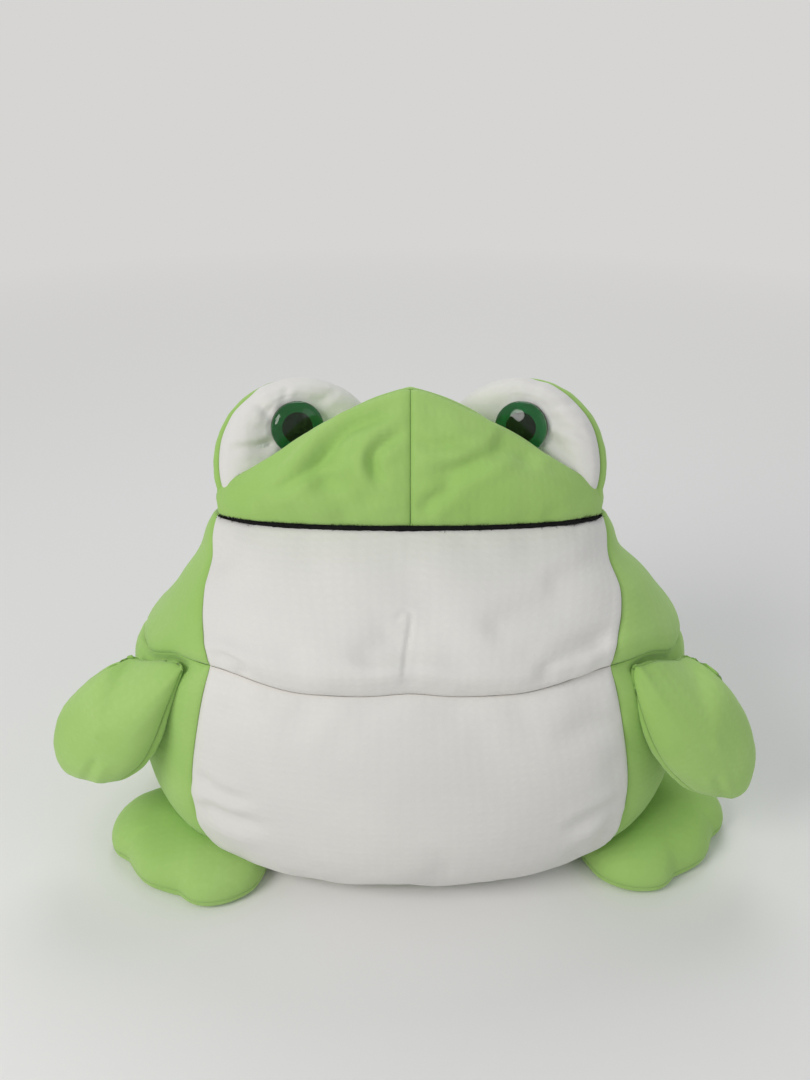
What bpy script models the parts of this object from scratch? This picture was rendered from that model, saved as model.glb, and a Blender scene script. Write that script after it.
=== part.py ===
# A plush frog, sitting: sewn cloth panels over stuffing, with plastic eyes.
# Metres, +Z up. The frog looks along -Y, and the origin is the middle of its flat base.
# Left is the -X side and right the +X side.

import math

import bpy
import numpy as np
from mathutils import Matrix, Vector
from mathutils.bvhtree import BVHTree

# Cloth and clearances
CLOTH = 0.0012
GAP = 0.0003
OVERRUN = 0.006

# Angles: what counts as a flat face, and as a sharp edge on the eyes
FLAT_ANGLE = 1
SHARP_ANGLE = 35

# Seams pull the surface in
PANEL_SEAM_DEPTH = 0.0025
WAIST_SEAM_DEPTH = 0.0040
DART_DEPTH = 0.0025

# Body: six level rings on the upright axis, from the base to the neck. Each leans back,
# and reaches so far to the side, the front and the rear.
BASE_HALF_WIDTH = 0.112
BASE_FRONT = 0.078
BASE_REAR = 0.062

LOWER_HEIGHT = 0.022
LOWER_LEAN = 4
LOWER_HALF_WIDTH = 0.136
LOWER_FRONT = 0.102
LOWER_REAR = 0.084

BELLY_HEIGHT = 0.056
BELLY_LEAN = 8
BELLY_HALF_WIDTH = 0.146
BELLY_FRONT = 0.106
BELLY_REAR = 0.095

WAIST_HEIGHT = 0.117
WAIST_LEAN = 9
WAIST_HALF_WIDTH = 0.146
WAIST_FRONT = 0.096
WAIST_REAR = 0.096

CHEST_HEIGHT = 0.145
CHEST_LEAN = 14
CHEST_HALF_WIDTH = 0.134
CHEST_FRONT = 0.082
CHEST_REAR = 0.081

NECK_HEIGHT = 0.184
NECK_LEAN = 16
NECK_HALF_WIDTH = 0.100
NECK_FRONT = 0.050
NECK_REAR = 0.062

# How square the rings are: 2 is an ellipse
BODY_SQUARENESS = 2.3

# Where the white front ends on each ring, as a share of the way from the front to the rear
WHITE_EDGE_SHARES = (0.26, 0.272, 0.262, 0.222, 0.285, 0.43)

# Rings of the body's mesh, counted in stations, and the columns of its panels
RING_PLACE_SHARES = (0, 0.5, 1, 1.5, 2, 2.5, 3, 3.5, 4, 4.5, 5)
WAIST_RING = 6
WAIST_PLACE = 3
DART_RINGS = 2
WHITE_COLUMNS = 6
SIDE_COLUMNS = 7

# Head: a half-moon on the neck, folded along its ridge
RIDGE_HEIGHT = 0.066
RIDGE_GABLE_SHARE = 0.32
RIDGE_FORWARD = 0.004
RIDGE_END_HEIGHT = 0.011
SNOUT_BULGE = 0.007
CROWN_DIP = 0.017
CROWN_DIP_SHARE = 0.6
HEAD_END_SHARE = 0.955
HEAD_STATIONS = 14
SNOUT_SHARES = (0, 0.3, 0.6, 0.85, 1)
CROWN_SHARES = (0, 0.1, 0.24, 0.42, 0.64, 0.86, 1)
CROWN_FALL = 1.9
CROWN_ROUND = 1.6

# Mouth cord
CORD_DIAMETER = 0.0032
CORD_END_SHARE = 0.405
CORD_POINTS = 33
CORD_RISE_SHARE = 0.3

# Eye lobes: round pillows behind the ridge
LOBE_RADIUS = 0.042
LOBE_INSET = 0.046
LOBE_FORWARD = 0.012
LOBE_HEIGHT = 0.025
LOBE_FACE_BULGE = 0.013
LOBE_BACK_BULGE = 0.020
LOBE_TURN_LEFT = 18
LOBE_TURN_RIGHT = 22
LOBE_COLUMNS = 16

# Eyes
EYE_DIAMETER = 0.026
EYE_ABOVE_LOBE = 0.020
EYE_OUTWARD = 0.0048
EYE_SEAT_DEPTH = 0.004
EYE_SEAT_MARGIN = 0.0012
EYE_SEAT_RISE_SHARE = 0.5
PUPIL_DIAMETER = 0.0138
IRIS_THICKNESS = 0.0009
EYE_PLATE_THICKNESS = 0.0012
LENS_HEIGHT = 0.0058
LENS_EDGE = 0.0012
LENS_STEPS = 6
STEM_DIAMETER = 0.0050
STEM_LENGTH = 0.0145
STEM_RIB = 0.0004
STEM_RIBS = 4
WASHER_DIAMETER = 0.0150
WASHER_THICKNESS = 0.0014
WASHER_LIP = 0.0009
WASHER_SPACE = 0.0008
EYE_SIDES = 20

# Arms: paddles sewn on under the waist seam
ARM_HALF_WIDTH = 0.031
ARM_HALF_LENGTH = 0.045
ARM_MIDDLE_SHARE = -0.1
ARM_TAPER_SHARE = 0.30
ARM_FRONT_BULGE = 0.015
ARM_BACK_BULGE = 0.013
ARM_ROOT_SHARE = 0.30
ARM_ROOT_SPAN_SHARE = 0.1
ARM_ROOT_DROP = 0.003
ARM_TUCK = 0.006
ARM_SQUARENESS = 2.5
ARM_STAND_OFF = 0.006
ARM_SPLAY_LEFT = 34
ARM_SPLAY_RIGHT = 26
ARM_TURN = 28
ARM_PITCH = 12
ARM_SWING = 70
SHOULDER_ANGLE = 98
ARM_COLUMNS = 16

# Feet: three-toed flippers that lie on the floor
LOWER_PLACE = 1
FOOT_PLACE_LEFT_SHARE = 0.332
FOOT_PLACE_RIGHT_SHARE = 0.393
FOOT_TUCK_LEFT = 0.0127
FOOT_TUCK_RIGHT = 0.0058
FOOT_REACH = 0.052
FOOT_NOTCH = 0.011
FOOT_ROOT_REACH = 0.016
FOOT_HEADING_LEFT = 38
FOOT_HEADING_RIGHT = 48
TOES = 3
TOE_SPREAD = 57
TOE_ROUNDNESS = 0.7
FOOT_TOP_BULGE = 0.021
FOOT_SOLE_BULGE = 0.0062
FOOT_COLUMNS = 24
FOOT_SWING = 25
HIP_ANGLE = 46
HIP_STAND_OFF = 0.001

# Rings of a pillow, from its edge to its middle: place between middle and edge, and height
PILLOW_RING_SHARES = ((0.93, 0.42), (0.74, 0.74), (0.42, 0.94))
FULL_RING_SHARES = ((1.03, 0.25), (0.94, 0.7), (0.55, 0.97))
SOLE_RING_SHARES = ((0.95, 0.7), (0.82, 1.0))

# Colours, roughness and metallic value
FINISHES = {
    "green_knit": ((0.33, 0.58, 0.14, 1), 0.9, 0),
    "white_knit": ((0.74, 0.73, 0.68, 1), 0.9, 0),
    "stuffing": ((0.82, 0.82, 0.80, 1), 1.0, 0),
    "black_cord": ((0.010, 0.010, 0.010, 1), 0.9, 0),
    "eye_lens": ((0.02, 0.20, 0.07, 1), 0.05, 0),
    "eye_green": ((0.01, 0.11, 0.04, 1), 0.3, 0),
    "eye_black": ((0.006, 0.006, 0.007, 1), 0.2, 0),
    "washer_white": ((0.80, 0.80, 0.78, 1), 0.5, 0),
}


def clear_scene():
    for item in list(bpy.data.objects):
        bpy.data.objects.remove(item, do_unlink=True)


def finish(name):
    """The material of that name, made once."""
    found = bpy.data.materials.get(name)
    if found:
        return found
    colour, roughness, metallic = FINISHES[name]
    made = bpy.data.materials.new(name)
    made.use_nodes = True
    shader = made.node_tree.nodes["Principled BSDF"]
    shader.inputs["Base Color"].default_value = colour
    shader.inputs["Roughness"].default_value = roughness
    shader.inputs["Metallic"].default_value = metallic
    made.diffuse_color = colour
    return made


def unit(vectors):
    """The same vectors, each of length one."""
    vectors = np.asarray(vectors, float)
    lengths = np.linalg.norm(vectors, axis=-1, keepdims=True)
    return vectors / np.maximum(lengths, np.finfo(float).tiny)


def smooth(values, place):
    """A smooth curve through the values, read at a place counted in values."""
    last = len(values) - 1
    start = min(int(place), last - 1)
    share = place - start
    here, there = values[start], values[start + 1]
    before = values[start - 1] if start else 2 * here - there
    after = values[start + 2] if start + 2 <= last else 2 * there - here
    bend = 2 * before - 5 * here + 4 * there - after
    twist = 3 * here - before - 3 * there + after
    return here + share / 2 * ((there - before) + share * (bend + share * twist))


def power(value, exponent):
    return math.copysign(abs(value) ** exponent, value)


# Forms: closed surfaces on a grid of rings, which the panels and the stuffing share


def make_form(rings, first, last, flats=()):
    """A form from rings of points, closed by one point at each end.

    flats lists (points chosen, the way out of their plane): those points stay in that plane.
    """
    rings = np.asarray(rings, float)
    count, columns = rings.shape[:2]
    points = np.concatenate([rings.reshape(-1, 3), [first], [last]])
    first_index, last_index = len(points) - 2, len(points) - 1
    faces, places = [], []
    for ring in range(count - 1):
        for column in range(columns):
            after = (column + 1) % columns
            a, b = ring * columns + column, ring * columns + after
            c, d = a + columns, b + columns
            if np.linalg.norm(points[a] - points[d]) <= np.linalg.norm(points[b] - points[c]):
                faces += [(a, b, d), (a, d, c)]
            else:
                faces += [(a, b, c), (b, d, c)]
            places += [(ring, column)] * 2
    top = (count - 1) * columns
    for column in range(columns):
        after = (column + 1) % columns
        faces.append((first_index, after, column))
        places.append((-1, column))
        faces.append((last_index, top + column, top + after))
        places.append((count - 1, column))
    faces = np.array(faces)
    corners = points[faces]
    volume = np.einsum("ij,ij->", np.cross(corners[:, 0], corners[:, 1]), corners[:, 2])
    if volume < 0:
        faces = faces[:, ::-1]
    form = {"points": points, "faces": faces, "places": np.array(places), "flats": flats}
    form["outward"] = outward_of(form)
    return form


def face_normals(points, faces):
    corners = points[faces]
    return np.cross(corners[:, 1] - corners[:, 0], corners[:, 2] - corners[:, 0])


def outward_of(form):
    """The way out at each point; a point of a flat goes out within its plane."""
    points, faces = form["points"], form["faces"]
    normals = face_normals(points, faces)
    facing = unit(normals)
    total = np.zeros_like(points)
    flat_faces = np.zeros(len(faces), bool)
    for chosen, way in form["flats"]:
        flat_faces |= facing @ np.asarray(way) > math.cos(math.radians(FLAT_ANGLE))
    for corner in range(3):
        np.add.at(total, faces[~flat_faces, corner], normals[~flat_faces])
    for corner in range(3):
        np.add.at(total, faces[flat_faces, corner], normals[flat_faces] * np.finfo(float).eps)
    for chosen, way in form["flats"]:
        way = np.asarray(way, float)
        total[chosen] -= np.outer(total[chosen] @ way, way)
    return unit(total)


def layer(form, depth):
    """The form's points, moved in by a depth."""
    return form["points"] - form["outward"] * depth


def border_edges(faces):
    """The directed edges that only one of the faces has."""
    edges = np.concatenate([faces[:, [0, 1]], faces[:, [1, 2]], faces[:, [2, 0]]])
    known = {(int(a), int(b)) for a, b in edges}
    return [(a, b) for a, b in known if (b, a) not in known]


def panel_mesh(form, chosen):
    """A cloth panel: the chosen faces, a cloth thick, drawn in from the seams round them."""
    faces = form["faces"][chosen]
    normals = unit(face_normals(form["points"], faces))
    owner = {}
    for index, face in enumerate(faces):
        for corner in range(3):
            owner[(int(face[corner]), int(face[(corner + 1) % 3]))] = index
    borders = sorted(border_edges(faces))
    inward = {}
    for a, b in borders:
        along = form["points"][b] - form["points"][a]
        way = unit(np.cross(normals[owner[(a, b)]], along))
        inward[a] = inward.get(a, 0) + way
        inward[b] = inward.get(b, 0) + way
    used = np.unique(faces)
    number = {int(point): index for index, point in enumerate(used)}
    outer = form["points"][used].copy()
    inner = layer(form, CLOTH)[used].copy()
    for point, way in inward.items():
        drawn = unit(way) * GAP / 2
        outer[number[point]] += drawn
        inner[number[point]] += drawn
    size = len(used)
    front = [tuple(number[int(p)] for p in face) for face in faces]
    back = [tuple(size + number[int(p)] for p in face[::-1]) for face in faces]
    walls = []
    for a, b in borders:
        i, j = number[a], number[b]
        walls += [(j, i, size + i), (j, size + i, size + j)]
    return np.concatenate([outer, inner]), front + back + walls


def core_mesh(form, depth=CLOTH + GAP):
    """The stuffing: the whole form, moved in past the cloth."""
    return layer(form, depth), [tuple(map(int, face)) for face in form["faces"]]


def envelope_mesh(form):
    """What the form and its clearance fill, run out past its flats, for cutting others."""
    points = layer(form, -GAP)
    for chosen, way in form["flats"]:
        points[chosen] += np.asarray(way) * OVERRUN
    ends = form.get("flat_ends", {})
    for index, way in ends.items():
        points[index] += np.asarray(way) * OVERRUN
    return points, [tuple(map(int, face)) for face in form["faces"]]


# Objects


def add_object(name, points, faces, slot, parent=None):
    """A mesh object; under a parent, its mesh is kept in the parent's own place."""
    origin = np.array(parent.location) if parent else np.zeros(3)
    mesh = bpy.data.meshes.new(name)
    mesh.from_pydata((np.asarray(points) - origin).tolist(), [], [list(f) for f in faces])
    mesh.validate()
    item = bpy.data.objects.new(name, mesh)
    bpy.context.scene.collection.objects.link(item)
    if slot:
        mesh.materials.append(finish(slot))
    if parent:
        item.parent = parent
    return item


def add_cutter(name, points, faces):
    item = add_object(name, points, faces, None)
    item.hide_render = True
    item.display_type = "WIRE"
    return item


def cut(item, *cutters):
    for cutter in cutters:
        modifier = item.modifiers.new("cut_" + cutter.name, "BOOLEAN")
        modifier.operation = "DIFFERENCE"
        modifier.solver = "EXACT"
        modifier.object = cutter


def add_joint(name, place):
    """An empty on a joint's axis, which its moving pieces hang from."""
    empty = bpy.data.objects.new(name, None)
    empty.location = place
    bpy.context.scene.collection.objects.link(empty)
    return empty


def turned(name, profile, slot, frame):
    """A round piece: a profile of (radius, height) pairs, turned about the frame's third axis."""
    rings = []
    for radius, height in profile:
        ring = []
        for side in range(EYE_SIDES):
            angle = 2 * math.pi * side / EYE_SIDES
            ring.append(frame @ Vector((radius * math.cos(angle), radius * math.sin(angle), height)))
        rings.append(ring)
    count = len(rings)
    points = [point for ring in rings for point in ring]
    faces = []
    for ring in range(count):
        below, above = ring * EYE_SIDES, (ring + 1) % count * EYE_SIDES
        for side in range(EYE_SIDES):
            after = (side + 1) % EYE_SIDES
            faces.append((below + side, below + after, above + after, above + side))
    item = add_object(name, np.array(points), faces, slot)
    item.data.shade_smooth()
    item.data.set_sharp_from_angle(angle=math.radians(SHARP_ANGLE))
    return item


def turned_solid(name, profile, slot, frame):
    """A round piece without a bore: its profile runs from the axis round to the axis."""
    points, faces = [], []
    starts = []
    for radius, height in profile:
        starts.append(len(points))
        sides = EYE_SIDES if radius else 1
        for side in range(sides):
            angle = 2 * math.pi * side / EYE_SIDES
            points.append(frame @ Vector((radius * math.cos(angle), radius * math.sin(angle), height)))
    for ring in range(len(profile) - 1):
        low, high = starts[ring], starts[ring + 1]
        for side in range(EYE_SIDES):
            after = (side + 1) % EYE_SIDES
            if not profile[ring][0]:
                faces.append((low, high + after, high + side))
            elif not profile[ring + 1][0]:
                faces.append((low + side, low + after, high))
            else:
                faces.append((low + side, low + after, high + after, high + side))
    item = add_object(name, np.array(points), faces, slot)
    item.data.shade_smooth()
    item.data.set_sharp_from_angle(angle=math.radians(SHARP_ANGLE))
    return item


# Body

BODY_STATIONS = (
    (CLOTH + GAP, 0, BASE_HALF_WIDTH, BASE_FRONT, BASE_REAR),
    (LOWER_HEIGHT, LOWER_LEAN, LOWER_HALF_WIDTH, LOWER_FRONT, LOWER_REAR),
    (BELLY_HEIGHT, BELLY_LEAN, BELLY_HALF_WIDTH, BELLY_FRONT, BELLY_REAR),
    (WAIST_HEIGHT, WAIST_LEAN, WAIST_HALF_WIDTH, WAIST_FRONT, WAIST_REAR),
    (CHEST_HEIGHT, CHEST_LEAN, CHEST_HALF_WIDTH, CHEST_FRONT, CHEST_REAR),
    (NECK_HEIGHT, NECK_LEAN, NECK_HALF_WIDTH, NECK_FRONT, NECK_REAR),
)


def plane_axes(lean):
    """The forward and the upward way of a plane that leans back by so many degrees."""
    tilt = math.radians(lean)
    forward = np.array([0, -math.cos(tilt), math.sin(tilt)])
    upward = np.array([0, math.sin(tilt), math.cos(tilt)])
    return forward, upward


def ring_point(half_width, front, rear, angle):
    """Across and forward places on a ring, at an angle from the front towards the right."""
    across = half_width * power(math.sin(angle), 2 / BODY_SQUARENESS)
    reach = power(math.cos(angle), 2 / BODY_SQUARENESS)
    return across, reach * (front if reach > 0 else rear)


def ring_normal(half_width, front, rear, across, ahead):
    """The way out of a ring at a place on it, across and forward."""
    reach = front if ahead > 0 else rear
    steep = BODY_SQUARENESS - 1
    return unit([power(across / half_width, steep) / half_width, power(ahead / reach, steep) / reach])


def body_point(place, angle, lift=0):
    """A point on the body: place counts the stations up from the base."""
    height, lean, half_width, front, rear = (smooth(row, place) for row in zip(*BODY_STATIONS))
    across, ahead = ring_point(half_width, front, rear, angle)
    forward, upward = plane_axes(lean)
    middle = np.array([0, 0, height])
    return middle + np.array([across, 0, 0]) + forward * ahead + upward * lift


def body_form():
    columns = 2 * (WHITE_COLUMNS + SIDE_COLUMNS)
    rings = []
    for index, place in enumerate(RING_PLACE_SHARES):
        edge = smooth(WHITE_EDGE_SHARES, place) * math.pi
        angles = [edge * step / WHITE_COLUMNS for step in range(WHITE_COLUMNS)]
        angles += [edge + (math.pi - edge) * step / SIDE_COLUMNS for step in range(SIDE_COLUMNS + 1)]
        angles += [-angle for angle in angles[-2:0:-1]]
        lift = -GAP / 2 if index == len(RING_PLACE_SHARES) - 1 else 0
        rings.append([body_point(place, angle, lift) for angle in angles])
    rings = np.array(rings)
    last = len(rings) - 1
    down, up = np.array([0, 0, -1]), plane_axes(NECK_LEAN)[1]
    flats = ((np.arange(columns), down), (last * columns + np.arange(columns), up))
    first, final = rings[0].mean(axis=0), rings[-1].mean(axis=0)
    plain = make_form(rings, first, final, flats)
    outward = plain["outward"][:-2].reshape(rings.shape)
    pulled = np.zeros(rings.shape[:2])
    for column in (WHITE_COLUMNS, columns - WHITE_COLUMNS):
        pulled[1:last, column] = PANEL_SEAM_DEPTH
    pulled[WAIST_RING] = WAIST_SEAM_DEPTH
    pulled[WAIST_RING + 1:WAIST_RING + 1 + DART_RINGS, 0] = DART_DEPTH
    form = make_form(rings - outward * pulled[..., None], first, final, flats)
    form["flat_ends"] = {len(form["points"]) - 2: down, len(form["points"]) - 1: up}
    return form


def build_body(form):
    columns = 2 * (WHITE_COLUMNS + SIDE_COLUMNS)
    ring, column = form["places"].T
    on_side = (ring >= 0) & (ring < len(RING_PLACE_SHARES) - 1)
    upper, lower = on_side & (ring >= WAIST_RING), on_side & (ring < WAIST_RING)
    white = (column < WHITE_COLUMNS) | (column >= columns - WHITE_COLUMNS)
    right = ~white & (column < columns // 2)
    left = ~white & (column >= columns // 2)
    panels = (
        ("chest_panel", upper & white, "white_knit"),
        ("belly_panel", lower & white, "white_knit"),
        ("side_upper_left", upper & left, "green_knit"),
        ("side_upper_right", upper & right, "green_knit"),
        ("side_lower_left", lower & left, "green_knit"),
        ("side_lower_right", lower & right, "green_knit"),
    )
    for name, chosen, slot in panels:
        add_object(name, *panel_mesh(form, chosen), slot)
    add_object("body_stuffing", *core_mesh(form), "stuffing")
    outline = form["points"][:columns].copy()
    outline[:, 2] = CLOTH
    below = outline * (1, 1, 0)
    sides = [(i, (i + 1) % columns, columns + (i + 1) % columns, columns + i) for i in range(columns)]
    base = [tuple(range(columns - 1, -1, -1)), tuple(range(columns, 2 * columns))] + sides
    add_object("base_panel", np.concatenate([below, outline]), base, "green_knit")


# Head


def neck_frame():
    """The middle of the neck and its ways across, forward and up."""
    forward, upward = plane_axes(NECK_LEAN)
    return np.array([0, 0, NECK_HEIGHT]), np.array([1, 0, 0]), forward, upward


def head_form():
    middle, across, forward, upward = neck_frame()
    rings, floor_points = [], []
    bed = GAP / 2
    for station in range(HEAD_STATIONS + 1):
        angle = math.pi * (station / HEAD_STATIONS - 0.5)
        share = HEAD_END_SHARE * math.sin(angle)
        side = abs(share)
        chord = (1 - side**BODY_SQUARENESS) ** (1 / BODY_SQUARENESS)
        front, rear = NECK_FRONT * chord, NECK_REAR * chord
        ridge = RIDGE_HEIGHT * (1 - RIDGE_GABLE_SHARE * side - (1 - RIDGE_GABLE_SHARE) * side**2)
        ridge += RIDGE_END_HEIGHT * side**4
        crest = front + RIDGE_FORWARD * chord
        section = []
        for rise in SNOUT_SHARES:
            bulge = SNOUT_BULGE * chord * math.sin(math.pi * rise)
            section.append((front + (crest - front) * rise + bulge, ridge * rise))
        for back in CROWN_SHARES[1:]:
            fall = (1 - back**CROWN_FALL) ** (1 / CROWN_ROUND) if back < 1 else 0
            behind_ridge = math.sin(math.pi * min(1, back / CROWN_DIP_SHARE)) ** 2
            dip = CROWN_DIP * math.sin(math.pi * side) * behind_ridge
            section.append((crest - (crest + rear) * back, ridge * fall - dip * fall))
        place = NECK_HALF_WIDTH * share
        ring = []
        for ahead, above in section:
            lifted = max(above, 0) + bed
            ring.append(middle + across * place + forward * ahead + upward * lifted)
        floor_points += [station * len(section), (station + 1) * len(section) - 1]
        rings.append(ring)
    lift = upward * (bed + RIDGE_END_HEIGHT / 2)
    first = middle - across * NECK_HALF_WIDTH + lift
    last = middle + across * NECK_HALF_WIDTH + lift
    flats = ((np.array(floor_points), -upward),)
    return make_form(rings, first, last, flats)


def build_head(form):
    ring, column = form["places"].T
    snout_columns = len(SNOUT_SHARES) - 1
    crown_columns = len(CROWN_SHARES) - 1
    snout = (column < snout_columns)
    crown = (column >= snout_columns) & (column < snout_columns + crown_columns)
    middle = HEAD_STATIONS // 2
    add_object("snout_panel_left", *panel_mesh(form, snout & (ring < middle)), "green_knit")
    add_object("snout_panel_right", *panel_mesh(form, snout & (ring >= middle)), "green_knit")
    add_object("crown_panel", *panel_mesh(form, crown), "green_knit")
    add_object("head_stuffing", *core_mesh(form), "stuffing")


# Mouth cord


def seated(start, way, clearance, trees):
    """The first place along the way that is clear of all the surfaces."""
    near, far = 0, 2 * CORD_DIAMETER
    for _ in range(16):
        middle = (near + far) / 2
        place = Vector(start + way * middle)
        if min(tree.find_nearest(place)[3] for tree in trees) < clearance:
            near = middle
        else:
            far = middle
    return start + way * far


def build_mouth_cord(*forms):
    """A cord along the front of the neck, in the crease between the chest and the snout."""
    middle, across, forward, upward = neck_frame()
    trees = [BVHTree.FromPolygons(form["points"].tolist(), form["faces"].tolist()) for form in forms]
    curve = bpy.data.curves.new("mouth_cord", "CURVE")
    curve.dimensions = "3D"
    curve.bevel_depth = CORD_DIAMETER / 2
    curve.bevel_resolution = 2
    curve.use_fill_caps = True
    curve.resolution_u = 1
    spline = curve.splines.new("POLY")
    spline.points.add(CORD_POINTS - 1)
    for index in range(CORD_POINTS):
        angle = math.pi * CORD_END_SHARE * (2 * index / (CORD_POINTS - 1) - 1)
        side, ahead = ring_point(NECK_HALF_WIDTH, NECK_FRONT, NECK_REAR, angle)
        out_across, out_ahead = ring_normal(NECK_HALF_WIDTH, NECK_FRONT, NECK_REAR, side, ahead)
        start = middle + across * side + forward * ahead
        way = unit(across * out_across + forward * out_ahead + upward * CORD_RISE_SHARE)
        spline.points[index].co = (*seated(start, way, CORD_DIAMETER / 2 + 2 * GAP, trees), 1)
    item = bpy.data.objects.new("mouth_cord", curve)
    bpy.context.scene.collection.objects.link(item)
    curve.materials.append(finish("black_cord"))


# Pillows: an edge outline with a bulge on each side of it


def pressed(points, plane, way):
    """The points, with those above a plane (place, normal) pushed down to it along a way."""
    place, normal = plane
    above = np.maximum((points - place) @ normal, 0) / (normal @ way)
    return points - above[..., None] * way


def swing_plane(place, axis, angle):
    """The plane over a limb's root that the body meets when the limb is all the way up.

    It goes through the hinge, and rises at an angle from the way out.
    """
    outward = unit(np.cross([0, 0, 1], axis))
    upward = np.cross(axis, outward)
    turn = math.radians(angle)
    return place, upward * math.cos(turn) - outward * math.sin(turn)


def pillow_form(
    outline, middle, frame, front_shares, back_shares, front_bulge, back_bulge, seat=None, press=None
):
    """Rings from the middle of the front, over the edge, to the middle of the back.

    outline and middle are places across the pillow, frame its place and its three ways. seat
    is (radius, depth, hole radius) of a flat round bed in the front, which a plastic eye sits
    on. press is (plane, way) of a root that lies flat under the body.
    """
    outline, middle = np.asarray(outline), np.asarray(middle)
    origin, across, along, facing = frame

    def place(flat, height):
        flat = np.atleast_2d(flat)
        return origin + flat[:, :1] * across + flat[:, 1:] * along + height * facing

    rings = []
    if seat:
        radius, depth, hole = seat
        spokes = unit(outline - middle)
        bed = front_bulge - depth
        rings.append(place(middle + spokes * hole, bed))
        rings.append(place(middle + spokes * radius, bed))
        for share, height in reversed(front_shares):
            reach = middle + (outline - middle) * share
            rings.append(place(reach, bed + (front_bulge * height - bed) * seat_share(share)))
    else:
        for share, height in reversed(front_shares):
            rings.append(place(middle + (outline - middle) * share, front_bulge * height))
    rim = len(rings)
    rings.append(place(outline, 0))
    for share, height in back_shares:
        rings.append(place(middle + (outline - middle) * share, -back_bulge * height))
    first = rings[0].mean(axis=0) if seat else place(middle, front_bulge)[0]
    if press:
        rings = [pressed(ring, *press) for ring in rings]
        first = pressed(first, *press)
    form = make_form(rings, first, place(middle, -back_bulge)[0])
    form["rim"] = rim
    return form


def seat_share(share):
    """How far the cloth has risen from the eye's bed to its full height."""
    return min(1, share / EYE_SEAT_RISE_SHARE)


def build_pillow(names, form, slots, parent=None, cutters=(), open_seat=False):
    """Front panel, back panel and stuffing of a pillow."""
    ring = form["places"][:, 0]
    front = (ring < form["rim"]) & (ring >= (0 if open_seat else -1))
    back = ring >= form["rim"]
    for name, chosen, slot in zip(names, (front, back), slots):
        cut(add_object(name, *panel_mesh(form, chosen), slot, parent), *cutters)
    stuffing = add_object(names[2], *core_mesh(form), "stuffing", parent)
    cut(stuffing, *cutters)
    return stuffing


# Eye lobes and eyes


def lobe_frame(side, turn):
    """An eye lobe's place and ways: across, up and out of its face. side is -1 or 1."""
    middle, across, forward, upward = neck_frame()
    aside = across * side * (NECK_HALF_WIDTH - LOBE_INSET)
    place = middle + aside + forward * LOBE_FORWARD + upward * LOBE_HEIGHT
    angle = math.radians(turn)
    facing = forward * math.cos(angle) - across * side * math.sin(angle)
    return place, np.cross(upward, facing), upward, facing


def build_lobe(side, word, turn, cutters):
    frame = lobe_frame(side, turn)
    angles = [2 * math.pi * step / LOBE_COLUMNS for step in range(LOBE_COLUMNS)]
    outline = [(LOBE_RADIUS * math.sin(angle), LOBE_RADIUS * math.cos(angle)) for angle in angles]
    eye_place = (side * EYE_OUTWARD, EYE_ABOVE_LOBE)
    hole = STEM_DIAMETER / 2 + STEM_RIB + GAP
    seat = (EYE_DIAMETER / 2 + EYE_SEAT_MARGIN, EYE_SEAT_DEPTH, hole)
    form = pillow_form(
        outline, eye_place, frame, PILLOW_RING_SHARES[:2], FULL_RING_SHARES,
        LOBE_FACE_BULGE, LOBE_BACK_BULGE, seat,
    )
    names = ("lobe_face_" + word, "lobe_back_" + word, "lobe_stuffing_" + word)
    stuffing = build_pillow(names, form, ("white_knit", "green_knit"), None, cutters, True)
    origin, across, along, facing = frame
    bed = LOBE_FACE_BULGE - EYE_SEAT_DEPTH
    place = origin + across * eye_place[0] + along * eye_place[1] + facing * bed
    cut(stuffing, build_eye(word, place, across, along, facing))


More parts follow.
